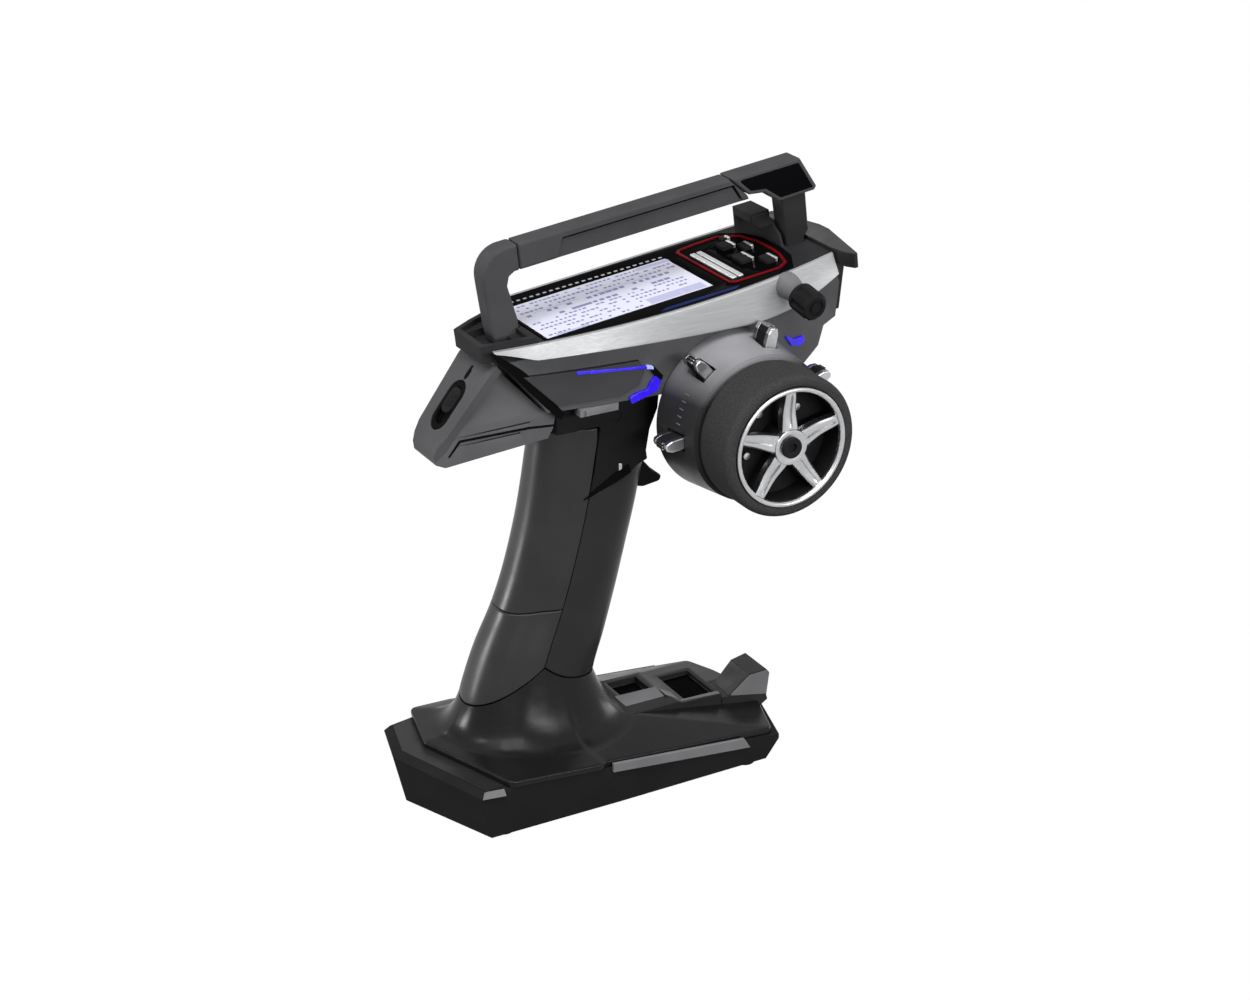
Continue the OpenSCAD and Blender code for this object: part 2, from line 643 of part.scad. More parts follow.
module body_right() color(charcoal) place() difference() {
  intersection() {
    body_form(0);
    translate([-150, -60, 100]) cube([300, 60, 150]);
  }
  body_hollow();
  floor_slot();
  name_recess(seat_gap);
}
module body_left() color(charcoal) place() difference() {
  intersection() {
    body_form(0);
    translate([-150, 0, 100]) cube([300, 60, 150]);
  }
  body_hollow();
  floor_slot();
}

// Panel on the right side that carries the light pipe, set into the side wall
// Height on the side wall between the floor and the panel's upper edge, by share
function side_w(t) = mix(floor_w, cover_at - 22.9, t);
name_pts = [for (p = [[-88, 1], [-74.5, 0.156], [-48.5, 0.156], [-41, 0.375], [-38.5, 0.688], [-41, 1]])
  [p[0], side_w(p[1])]];
name_deep = 1.2;
module name_recess(gap) intersection() {
  across(-60, 0) polygon(inset(name_pts, -gap));
  translate([0, 0, 100]) linear_extrude(150) polygon(concat(
    [for (u = [-97, -78, -58, -38]) [u, edge_low(u) + side_recess - 4]],
    [for (u = [-38, -58, -78, -97]) [u, edge_low(u) + side_recess + name_deep + gap * 0.4]]));
}
module name_panel() color(slate) place() intersection() {
  across(-60, 0) polygon(name_pts);
  translate([0, 0, 100]) linear_extrude(150) polygon(concat(
    [for (u = [-97, -78, -58, -38]) [u, edge_low(u) + side_recess - 1]],
    [for (u = [-38, -58, -78, -97]) [u, edge_low(u) + side_recess + name_deep]]));
}
pipe_t = 1.3;
module light_pipes() color(blue) place() {
  intersection() {
    across(-60, 0) polygon([for (p = [[-70, 1.062], [-41, 1.062], [-37.4, 0.688], [-40.2, 0.325],
      [-48, 0.081], [-40, 0.138], [-36.2, 0.438], [-35.4, 0.775], [-39, 1.15], [-70, 1.138]])
      [p[0], side_w(p[1])]]);
    translate([0, 0, 100]) linear_extrude(150) polygon(concat(
      [for (u = [-78, -58, -38, -18]) [u, edge_low(u) + side_recess - pipe_t]],
      [for (u = [-18, -38, -58, -78]) [u, edge_low(u) + side_recess]]));
  }
  intersection() {
    across(-60, 0) polygon([for (p = [[35, 0.85], [38.4, 0.95], [40.6, 1.15], [39.6, 1.213], [36.8, 1.05],
      [34.4, 0.962]]) [p[0], side_w(p[1])]]);
    translate([0, 0, 100]) linear_extrude(150) polygon(concat(
      [for (u = [22, 40, 56]) [u, edge_low(u) + side_recess - pipe_t]],
      [for (u = [56, 40, 22]) [u, edge_low(u) + side_recess]]));
  }
}

// Bright bands
band_stations = steps(band_rear, band_front, 18);
function band_sheet(d) = [for (t = [0, 0.5, 1]) [for (u = band_stations)
  let (taper = min(1, max(0, (u - band_rear + 3) / 16)), n = mix(0, low_n(u) * taper, t))
  [u, mix(edge_top(u), edge_low(u), t * taper) + d, n]]];
module band_right() color(bright) difference() {
  pitched() wall_between(band_sheet(0), band_sheet(band_t));
  place() dial_axis() translate([0, 0, -6]) cylinder(r = dial_base_r + seat_gap, h = 30);
  // Room for the hub
  on_axis() translate([0, 0, hub_back - 1]) cylinder(r = hub_back_r + seat_gap, h = 20);
}
module band_left() color(bright) pitched() translate([0, left_half - band_t, 0]) mirror([0, 1, 0])
  across(-band_t, 0) polygon([[left_turn, 0], [left_turn + 6, low_n(left_turn + 6)], [0, low_n(0)],
    [24, low_n(24)],
    [cover_front, low_n(cover_front)], [cover_front, 0]]);

// Top cover with a raised middle and openings for the screen, the keys and the handle's feet
function cover_plan(d) = concat(
  [[-cover_rear + d, -11.5 + d]],
  [for (u = [-100, -80, -60, -40, -20, 0, 20, 36, cover_front]) [u, right_in(u) + d]],
  [[cover_front, left_in - d], [left_turn, left_in - d], [left_rear[0], left_rear[1] - d],
    [-cover_rear + d, 11.5 - d]]);
rim_t = 2.2;
rear_rim = -82;
rim_plan = [[-cover_rear, -11.5], [-cover_rear + 3, right_in(-100)], [rear_rim, right_in(rear_rim)],
  [rear_rim, 20.5],
  [left_rear[0], left_rear[1]], [-cover_rear, 11.5]];
panel_top = 0.3;
panel_t = 2;
panel_edge = 0.7;
panel_rear = -screen_rear - 1.6;
panel_pts = concat(
  [for (u = [panel_rear, -60, -40, -20, 0, 20, 29]) [u, right_in(u) + panel_edge]],
  [[35.2, -13], [36.6, -5], [36.6, 10], [33.5, 20], [26, 27.4], [left_turn, left_in - panel_edge],
    [panel_rear, 22]]);
key_open = [[2.6, -21.4], [28, -21.4], [31, -6], [31, 10], [27, 21.6], [2.6, 21.6]];
leg_foot = [[-93.4, -bar_t / 2], [-82.4, bar_t / 2]];
post_foot = [39.4, -post_w / 2];
// Seat of a handle foot, sunk into the cover
foot_sink = 2.5;
module handle_seats(gap) {
  translate([leg_foot[0][0] - gap, leg_foot[0][1] - gap, -foot_sink])
    cube([leg_foot[1][0] - leg_foot[0][0] + 2 * gap, bar_t + 2 * gap, 20]);
  translate([post_foot[0] - gap, post_foot[1] - gap, -foot_sink])
    cube([post_w + 2 * gap, post_w + 2 * gap, 20]);
}
module top_cover() color(charcoal) pitched() difference() {
  union() {
    translate([0, 0, -cover_t]) linear_extrude(cover_t) polygon(cover_plan(0));
    // Raised rim round the rear end
    linear_extrude(rim_h) difference() {
      polygon(rim_plan);
      polygon(inset(rim_plan, rim_t));
    }
    aerial_block();
  }
  translate([0, 0, panel_top - panel_t]) linear_extrude(10) polygon(inset(panel_pts, -seat_gap));
  translate([-screen_rear - seat_gap, -screen_right - seat_gap, -cover_t - 1])
    cube([screen_len + 2 * seat_gap, screen_wide + 2 * seat_gap, 20]);
  translate([0, 0, -cover_t - 1]) linear_extrude(20) polygon(key_open);
  // Sunk floor of the rear end
  translate([-cover_rear + 2.4, -9.6, -3]) cube([12.5, 19.2, 3.1]);
  handle_seats(seat_gap);
}
// Raised block at the far front corner of the cover, with a sloping arm to the front post
block_low = -0.5;
module aerial_block() {
  translate([31.2, 9, block_low]) cube([8.8, 14, 12.4]);
  translate([31.4, 0, block_low]) rotate([90, 0, 90]) linear_extrude(6.6)
    polygon([[-4, 0], [10, 0], [10, 12], [7, 12], [-2, 5.6]]);
}

bezel_top = 1.5;
bezel_under = 4.8;
nose_s = (nose_u - bezel_under * sin(pitch)) / cos(pitch);
ear_left = nose_half - 2.5;
module front_bezel() color(charcoal) pitched() {
  translate([0, 0, -bezel_under]) linear_extrude(bezel_top + bezel_under) polygon([
    [cover_front + seat_gap, right_in(cover_front)], [50.5, -nose_half + 4], [52.4, -nose_half],
      [54, -nose_half],
    [nose_s, -3], [nose_s, 3], [54, ear_left], [52.4, ear_left], [50.5, ear_left - 2],
    [cover_front + seat_gap, left_in]]);
  // Front face below the bezel
  across(-17, 21) polygon([[50, -27.4], [53.4, -27.4], [56.4, -14], [nose_s - 1.5, -bezel_under + 0.5],
    [53.1, -bezel_under + 0.5], [53.1, -14.2]]);
}

module display_panel() color(black) pitched() translate([0, 0, panel_top - panel_t]) difference() {
  linear_extrude(panel_t) polygon(panel_pts);
  translate([-screen_rear - seat_gap, -screen_right - seat_gap, -1])
    cube([screen_len + 2 * seat_gap, screen_wide + 2 * seat_gap, 10]);
  for (k = keys) key_prism(k, move_gap, -1, 10);
}
module screen() color("#e4e4f2") pitched() translate([-screen_rear, -screen_right, -cover_t])
  cube([screen_len, screen_wide, cover_t + panel_top - 0.2]);

// Keys: centre along and across, size along and across
keys = [[6.5, -3.3, 5.8, 33.4], [20.4, 12.4, 6, 6.4], [18.5, -3.6, 6, 8.6], [25.6, -11.4, 5.2, 7.2],
  [26, 6.4, 4.4, 6.4],
  [23.6, 18.6, 3.8, 3.6]];
module key_prism(k, gap, n0, h) translate([k[0] - k[2] / 2 - gap, k[1] - k[3] / 2 - gap, n0])
  cube([k[2] + 2 * gap, k[3] + 2 * gap, h]);
board_n = -cover_t - 0.15;
key_low = board_n + key_travel + 0.3;
module key(i) color("#8d8e90") pitched() key_prism(keys[i], 0, key_low, panel_top + key_proud - key_low);
module key_bar() key(0);
module key_cursor() key(1);
module key_enter() key(2);
module key_back() key(3);
module key_page() key(4);
module key_end() key(5);

ring_pts = [[1.6, -20.5], [3.6, -22.6], [24.6, -22.6], [29.6, -19.2], [32.4, -10], [33.2, -3.9],
  [33.2, 8.9], [30.6, 18.7],
  [23.2, 24.1], [11.5, 23.8], [3.6, 22.6], [1.6, 20.6]];
module keypad_ring() color(red) pitched() translate([0, 0, panel_top]) linear_extrude(0.5) difference() {
  polygon(ring_pts);
  polygon(inset(ring_pts, ring_line));
}

board_t = 1.6;
module main_board() color("#1f5a38") pitched() translate([-75, -15, board_n - board_t])
  cube([114, 33, board_t]);
module radio_module() color("#a9abb0") pitched() translate([4, -11, board_n - board_t - 5.02])
  cube([26, 22, 5]);

// Dial on the bright band
dial_base_r = 5.2;
dial_stem_len = 11;
module dial_stem() color(slate) place() dial_axis() {
  translate([0, 0, -1]) cylinder(r = dial_base_r, h = 3);
  translate([0, 0, 2]) cylinder(r1 = dial_base_r, r2 = 3.6, h = dial_stem_len - 2);
  cylinder(r = 1.5, h = dial_stem_len + 6);
}
module dial_knob() color(black) place() dial_axis() translate([0, 0, dial_stem_len + 0.3]) difference() {
  union() {
    cylinder(r = dial_r, h = dial_len - 1.2);
    translate([0, 0, dial_len - 1.2]) cylinder(r1 = dial_r, r2 = dial_r - 1.2, h = 1.2);
  }
  for (i = [0 : dial_grooves - 1]) rotate([0, 0, 360 * i / dial_grooves])
    translate([dial_r + 0.7, 0, 1.6]) cylinder(r = 1.6, h = dial_len);
  translate([0, 0, -1]) cylinder(r = 1.5 + run_gap, h = 7.2);
  translate([0, 0, dial_len - 0.7]) difference() {
    cylinder(r = 3.4, h = 2);
    translate([0, 0, -1]) cylinder(r = 1.9, h = 4);
  }
}

// Small bright push lever under the name panel
push_u = [-66, -49];
module push_lever() color(bright) place()
  translate([push_u[0], edge_low(-57) + side_recess - 0.6, floor_w - 3.3]) {
    cube([push_u[1] - push_u[0], 4.6, 3.2]);
    translate([2, -1.2, 0.5]) cube([6, 2, 2.2]);
  }

// Steering box behind the hub, under the upper body
box_low = axis_at - 19;
module steering_box() color(charcoal) place() difference() {
  translate([-steer_box_w / 2, -hub_back, box_low])
    cube([steer_box_w, steer_box_depth, floor_w - box_low]);
  translate([-steer_box_w / 2 + wall, -hub_back + wall, box_low + wall])
    cube([steer_box_w - 2 * wall, steer_box_depth - 2 * wall, floor_w - box_low]);
  translate([0, 0, axis_at]) rotate([90, 0, 0]) translate([0, 0, hub_back - 5])
    cylinder(r = shaft_r + 1.2, h = 10);
}
module steering_sensor() color("#2d6b3f") on_axis() translate([0, 0, hub_back - steer_box_depth + wall])
  difference() {
    translate([-8, -8, 0]) cube([16, 16, 4]);
    translate([0, 0, 1]) cylinder(r = shaft_r + run_gap, h = 10);
  }
shaft_in = hub_back - steer_box_depth + wall + 2;
module steering_shaft() color(bright) on_axis() translate([0, 0, shaft_in])
  cylinder(r = shaft_r, h = cap_front - 3.2 - shaft_in);

hub_wall = 3;
lever_z = (hub_back + hub_front) / 2 + 0.4;
module hub_housing() color(slate) on_axis() {
  difference() {
    union() {
      translate([0, 0, hub_back]) cylinder(r1 = hub_back_r, r2 = hub_front_r, h = hub_front - hub_back);
      translate([0, 0, hub_front]) cylinder(r = foam_r + 0.6, h = 0.5);
    }
    translate([0, 0, hub_back + hub_wall]) cylinder(r = hub_hollow_r,
      h = hub_front - hub_back - 2 * hub_wall);
    translate([0, 0, hub_back - 1]) cylinder(r = bearing_r, h = bearing_len + 1);
    translate([0, 0, hub_front + 0.5 - bearing_len]) cylinder(r = bearing_r, h = bearing_len + 1);
    for (i = [0 : 3]) rotate([0, 0, lever_first + i * lever_step])
      translate([lever_pivot_r, 0, lever_z - lever_w / 2 - move_gap]) {
        cylinder(r = lever_barrel_r + move_gap, h = lever_w + 2 * move_gap);
        translate([0, -lever_t / 2 - 1.4, 0]) cube([20, lever_t + 2.8, lever_w + 2 * move_gap]);
      }
  }
  // Pins of the trim levers
  for (i = [0 : 3]) rotate([0, 0, lever_first + i * lever_step])
    translate([lever_pivot_r, 0, lever_z - lever_w / 2 - 1.5]) cylinder(r = lever_pin_r, h = lever_w + 3);
}
module shaft_bearings() color(bright) on_axis() for (z = [hub_back, hub_front + 0.5 - bearing_len])
  translate([0, 0, z]) difference() {
    cylinder(r = bearing_r - 0.02, h = bearing_len);
    translate([0, 0, -1]) cylinder(r = shaft_r + run_gap, h = bearing_len + 2);
  }
module return_spring() color(bright) on_axis() translate([0, 0, hub_back + hub_wall + 0.1]) difference() {
  cylinder(r = 9, h = 7);
  translate([0, 0, -1]) cylinder(r = 7, h = 9);
}

module trim_lever(i) color("#9a9b9d") on_axis() rotate([0, 0, lever_first + i * lever_step])
  translate([lever_pivot_r, 0, lever_z - lever_w / 2]) difference() {
    union() {
      cylinder(r = lever_barrel_r, h = lever_w);
      translate([0, -lever_t / 2, 0]) cube([lever_reach, lever_t, lever_w]);
      translate([lever_reach - 0.001, 0, 0]) cylinder(r = lever_t / 2, h = lever_w);
    }
    translate([0, 0, -1]) cylinder(r = lever_pin_r + run_gap, h = lever_w + 2);
    for (k = [-1, 0, 1]) translate([lever_reach + lever_t / 2 + 0.3, k * 1.5, -1])
      cylinder(r = 0.6, h = lever_w + 2);
  }
module trim_lever_1() trim_lever(0);
module trim_lever_2() trim_lever(1);
module trim_lever_3() trim_lever(2);
module trim_lever_4() trim_lever(3);

// Steering wheel
rim_inner_r = rim_r - 1.5;
rim_back = rim_front - foam_width - 0.8;
web_z = rim_front - 15;
spoke_front = rim_front - 1.2;
module wheel_rim() color("#c9cbcd") on_axis() difference() {
  union() {
    difference() {
      translate([0, 0, rim_back + 1]) cylinder(r = rim_r, h = rim_front - rim_back - 1);
      translate([0, 0, rim_back]) cylinder(r = rim_inner_r, h = foam_width + 5);
    }
    translate([0, 0, web_z]) cylinder(r = rim_r - 0.5, h = 2.4);
    translate([0, 0, rim_back + 1]) cylinder(r = 7, h = spoke_front - rim_back - 1);
    translate([0, 0, spoke_front - 4]) linear_extrude(4) for (i = [0 : spoke_count - 1])
      rotate(90 + 360 * i / spoke_count) polygon([[3, -spoke_root_w / 2],
        [rim_inner_r + 0.4, -spoke_tip_w / 2],
        [rim_inner_r + 0.4, spoke_tip_w / 2], [3, spoke_root_w / 2]]);
  }
  cylinder(r = shaft_r + 0.02, h = rim_front + 5);
  translate([0, 0, cap_front - 3]) cylinder(r = cap_r + 0.02, h = 10);
  // Groove along each spoke
  for (i = [0 : spoke_count - 1]) rotate([0, 0, 90 + 360 * i / spoke_count])
    translate([8.5, -0.6, spoke_front - 0.8]) cube([12, 1.2, 3]);
}
module wheel_foam() color("#3a3a3b") on_axis() rotate_extrude() difference() {
  translate([rim_r + 0.02, rim_front - 0.8 - foam_width]) square([foam_r - rim_r - 0.02, foam_width]);
  for (z = [rim_front - 0.8, rim_front - 0.8 - foam_width]) translate([foam_r, z]) rotate(45)
    square(2.6, center = true);
}
module wheel_cap() color(black) on_axis() translate([0, 0, cap_front - 3]) difference() {
  cylinder(r = cap_r, h = 3);
  translate([0, 0, 1.4]) cylinder(r = 2, h = 3, $fn = 6);
}

// Rear pod with the power switch
pod_a = under_rear - [4.2, 4.2];
pod_b = [-121, floor_w - 9.4];
pod_profile = [pod_a, pod_b, [-122.2, floor_w - 13], [-121.6, floor_w - 16.6], [-118.6, floor_w - 17.6],
  [-86, floor_w - 13.2], [-76.6, floor_w - 12], [-74.5, floor_w - 8], [-73, floor_w - seat_gap],
  [-78.3 - seat_gap, floor_w - seat_gap], under_rear - [1.6, 1.8]];
function pod_plan(d) = [[-123 + d, -pod_tip_half + 3 + d], [-118 + d, -pod_tip_half + d],
  [-72, -pod_neck_half + d],
  [-72, pod_neck_half - d], [-118 + d, pod_tip_half - d], [-123 + d, pod_tip_half - 3 - d]];
pod_slope = atan2(pod_a[1] - pod_b[1], pod_a[0] - pod_b[0]);
// Frame on the slanted rear face: x runs down the face, z points out of it
module on_pod() translate([pod_a[0], 0, pod_a[1]]) rotate([0, -pod_slope, 0])
  rotate([0, 0, 180]) children();
switch_x = 19;
bezel_len = switch_len + switch_travel + 6;
bezel_w = switch_w + 4;
module slot_2d(length, width) {
  square([length - width, width], center = true);
  for (k = [-1, 1]) translate([k * (length - width) / 2, 0]) circle(d = width);
}
// Room cut from the pod's shoulders, behind the plate that holds the switch
hip_drop = 2.5;
hip_lean = 0.4;
plate_t = 3.2;
module pod_hips(d) for (k = [-1, 1]) intersection() {
  translate([-118, k * (pod_tip_half - d), floor_w - hip_drop])
    rotate([0, 0, k * atan2(pod_neck_half - pod_tip_half, 46)]) rotate([90, 0, 90])
      translate([0, 0, -20]) linear_extrude(80)
        polygon([[k * 3 * hip_lean, -3], [k * 12, -3], [k * 12, 30], [-k * 30 * hip_lean, 30]]);
  on_pod() translate([-60, -60, -80 - (d > 0 ? 0 : plate_t)]) cube([140, 120, 80]);
}
module rear_pod() color(charcoal) place() difference() {
  intersection() {
    translate([0, 0, 100]) linear_extrude(150) polygon(pod_plan(0));
    across(-60, 60) polygon(pod_profile);
  }
  pod_hips(0);
  difference() {
    intersection() {
      translate([0, 0, 100]) linear_extrude(150) polygon(pod_plan(wall));
      across(-60, 60) polygon([pod_a + [0.8, -4], pod_b + [3.4, -1], [-118.6, floor_w - 13],
        [-118, floor_w - 15.6], [-86, floor_w - 10.8], [-79, floor_w - 9.8], [-77, floor_w - 6],
        [-77, floor_w - 3.5], [-80.5, floor_w - 3], pod_a + [4, -4.4]]);
    }
    pod_hips(wall);
  }
  on_pod() translate([switch_x, 0, -6]) linear_extrude(20) slot_2d(bezel_len + 2 * seat_gap,
    bezel_w + 2 * seat_gap);
  on_pod() translate([3, -1.2, -1.4]) cube([3.6, 2.4, 10]);
  // Panel lines on the sides
  for (k = [-1, 1]) across(k > 0 ? pod_tip_half + 0.4 : -30,
    k > 0 ? 30 : -pod_tip_half - 0.4) panel_lines();
}
module panel_lines() {
  translate([0, floor_w]) {
    polygon([[-119, -6.8], [-84, -4.4], [-84, -3.8], [-119, -6.2]]);
    polygon([[-116.5, -16], [-115.9, -16], [-115.9, -10], [-88, -8.2], [-88, -7.6], [-116.5, -9.4]]);
  }
}
module switch_bezel() color(black) place() on_pod() translate([switch_x, 0, -3.2]) difference() {
  linear_extrude(3) slot_2d(bezel_len, bezel_w);
  translate([0, 0, 1]) linear_extrude(5) slot_2d(switch_len + switch_travel + 2 * move_gap,
    switch_w + 2 * move_gap);
}
module power_switch() color(charcoal) place() on_pod()
  translate([switch_x - switch_travel / 2, 0, -3.2 + 1.1]) {
    linear_extrude(2.4) slot_2d(switch_len, switch_w);
    for (k = [-1, 0, 1]) translate([k * 2 - 0.5, -switch_w / 2 + 1.2, 2.2])
      cube([1, switch_w - 2.4, 0.8]);
  }

// Carrying handle
bar_top = bar_low + bar_h;
module handle_bar() color(charcoal) pitched() difference() {
  across(-bar_t / 2, bar_t / 2) polygon([[-bar_rear, bar_low], [bar_front + 4, bar_low],
    [bar_front + 3.2, bar_low + 2],
    [bar_front - 4.6, bar_top], [-bar_rear, bar_top]]);
  // Sunk panels along both sides
  for (k = [0, 1]) mirror([0, k, 0]) across(bar_t / 2 - 0.6, bar_t) polygon([[-64, bar_low - 1],
    [-59.6, bar_low + 8.2],
    [bar_front - 2.6, bar_low + 8.2], [bar_front + 1.6, bar_low - 1]]);
  translate([-bar_rear + 6, 0, bar_low + bar_h / 2]) rotate([0, 90, 0])
    cylinder(r = aerial_r + seat_gap, h = 120);
}
module aerial() color("#c8a24a") pitched()
  translate([-bar_rear + 6.2, 0, bar_low + bar_h / 2]) rotate([0, 90, 0])
    cylinder(r = aerial_r, h = bar_rear + bar_front - 14);

leg_curve_r = 11;
leg_back = leg_foot[0][0] - 1.4;
module handle_leg() color(charcoal) pitched() across(-bar_t / 2, bar_t / 2) difference() {
  union() {
    polygon([[leg_foot[0][0], -foot_sink], [leg_foot[1][0], -foot_sink], [leg_foot[1][0], 5],
      [leg_foot[1][0] - 2.4, bar_low - 5], [leg_foot[1][0] - 1.2, bar_low - 1.4],
        [leg_foot[1][0] + 1.4, bar_low],
      [-bar_rear - seat_gap / 2, bar_low], [-bar_rear - seat_gap / 2, bar_top],
        [leg_back + leg_curve_r, bar_top],
      [leg_back, bar_top - leg_curve_r], [leg_back, 22], [leg_foot[0][0] - 0.8, 4]]);
    intersection() {
      translate([leg_back + leg_curve_r, bar_top - leg_curve_r]) circle(r = leg_curve_r, $fn = 64);
      translate([leg_back, bar_top - leg_curve_r]) square(leg_curve_r);
    }
  }
}
module handle_end() color(black) pitched() {
  across(-end_t / 2, end_t / 2) polygon([[bar_front - 4.6 + seat_gap, bar_top],
    [bar_front + 3.2 + seat_gap, bar_low + 2.2],
    [30.4, bar_low + 1.2], [37, bar_low - 4.4], [53.6, bar_low - 4], [54.8, bar_low - 2.6],
      [48, bar_top + 0.2]]);
  across(-post_w / 2, post_w / 2) polygon([[post_foot[0], -foot_sink],
    [post_foot[0] + post_w, -foot_sink],
    [post_foot[0] + post_w, 1.8], [post_foot[0] + post_w + 2.2, 4.2],
      [post_foot[0] + post_w + 2.2, bar_low - 4],
    [post_foot[0] - 1, bar_low - 4]]);
}

base_tray();
base_deck();
battery_door();
battery_pack();
base_feet();
side_rails();
deck_inlay();
front_bumper();
base_screws();
grip_front();
neck_block();
grip_rubber();
palm_rubber();
grip_spine();
trigger();
trigger_pin();
trigger_spring();
trigger_sensor();
rear_pod();
switch_bezel();
power_switch();
body_right();
body_left();
top_cover();
band_right();
band_left();
name_panel();
light_pipes();
front_bezel();
display_panel();
screen();
keypad_ring();
key_bar();
key_cursor();
key_enter();
key_back();
key_page();
key_end();
main_board();
radio_module();
dial_stem();
dial_knob();
push_lever();
steering_box();
hub_housing();
steering_shaft();
shaft_bearings();
steering_sensor();
return_spring();
wheel_rim();
wheel_foam();
wheel_cap();
trim_lever_1();
trim_lever_2();
trim_lever_3();
trim_lever_4();
handle_bar();
handle_leg();
handle_end();
aerial();
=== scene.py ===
"""Looks of a hand-held pistol-grip radio transmitter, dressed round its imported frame."""

import json
import logging
import math
from dataclasses import dataclass
from enum import Enum
from typing import Callable, ClassVar, Iterable, Sequence

import bmesh
import bpy
import numpy as np
from mathutils import Matrix, Vector

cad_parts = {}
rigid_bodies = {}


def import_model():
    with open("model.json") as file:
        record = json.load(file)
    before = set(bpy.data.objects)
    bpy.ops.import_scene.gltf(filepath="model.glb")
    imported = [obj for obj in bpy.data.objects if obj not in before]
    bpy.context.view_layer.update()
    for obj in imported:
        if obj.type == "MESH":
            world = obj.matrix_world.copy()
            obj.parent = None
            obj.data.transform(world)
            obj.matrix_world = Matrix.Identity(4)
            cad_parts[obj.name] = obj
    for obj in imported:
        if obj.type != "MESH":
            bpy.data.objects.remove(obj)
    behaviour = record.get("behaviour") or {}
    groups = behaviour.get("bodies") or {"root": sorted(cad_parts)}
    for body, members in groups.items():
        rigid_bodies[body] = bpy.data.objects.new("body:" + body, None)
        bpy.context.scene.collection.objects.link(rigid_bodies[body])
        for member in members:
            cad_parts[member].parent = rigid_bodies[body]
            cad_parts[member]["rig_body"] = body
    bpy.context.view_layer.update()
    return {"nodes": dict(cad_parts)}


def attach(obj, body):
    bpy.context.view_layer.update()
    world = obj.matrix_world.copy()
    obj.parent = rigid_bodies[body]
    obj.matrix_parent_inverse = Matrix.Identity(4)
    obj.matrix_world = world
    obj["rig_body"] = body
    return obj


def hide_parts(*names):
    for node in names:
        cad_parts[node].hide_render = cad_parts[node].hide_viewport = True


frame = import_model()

LOG = logging.getLogger("transmitter")
MM = 0.001
USUAL = (0.3, 0.7)  # range that most values of a noise lie in
SHARP = 40.0  # degrees from which an edge of a built piece stays sharp
SHARP_COPY = 28.0  # the same for a copied solid, whose edges are then rounded
Triple = tuple[float, float, float]
Pair = tuple[float, float]
Four = tuple[float, float, float, float]
Line = tuple[Pair, ...]
Steps = tuple[list[float], list[float]]
Place = Callable[[float, float, float], Vector]
Piece = bpy.types.Object
Socket = bpy.types.NodeSocket


# ---------------------------------------------------------------- frames


@dataclass(frozen=True)
class Frames:
    """Working frames of the part, in millimetres.

    u runs forward from the wheel's axis, v left from the centre plane and w up. The upper
    body's own frame (s, t, n) is pitched nose-up about the cover's plane.
    """

    ahead: float = 39.55
    left: float = 19.8
    cover: float = 206.9
    pitch: float = math.radians(7)
    axis: float = 156.4

    def at(self, u: float, v: float, w: float) -> Vector:
        """Point of the working frame, in metres of the row frame."""
        return Vector((u + self.ahead, v + self.left, w)) * MM

    def tilted(self, s: float, t: float, n: float) -> Vector:
        """Point of the pitched upper body, in metres of the row frame."""
        c, k = math.cos(self.pitch), math.sin(self.pitch)
        return self.at(s * c - n * k, t, self.cover + s * k + n * c)

    def steered(self, x: float, y: float, z: float) -> Vector:
        """Point of the wheel's frame: x ahead, y up, z out to the right."""
        return self.at(x, -z, self.axis + y)

    def under_cover(self, u: float, w: float) -> float:
        """Distance n of a point (u, w) from the cover's plane."""
        return -u * math.sin(self.pitch) + (w - self.cover) * math.cos(self.pitch)


FR = Frames()


def across(a: float, b: float, c: float) -> Vector:
    """Place of a side profile (u, w) at v = c."""
    return FR.at(a, c, b)


def across_tilted(a: float, b: float, c: float) -> Vector:
    """Place of a pitched side profile (s, n) at t = c."""
    return FR.tilted(a, c, b)


# ---------------------------------------------------------------- finishes


def fill(node: bpy.types.Node, values: dict[str, object]) -> None:
    """Set a node's inputs by name, with underscores for spaces."""
    for key, value in values.items():
        node.inputs[key.replace("_", " ")].default_value = value


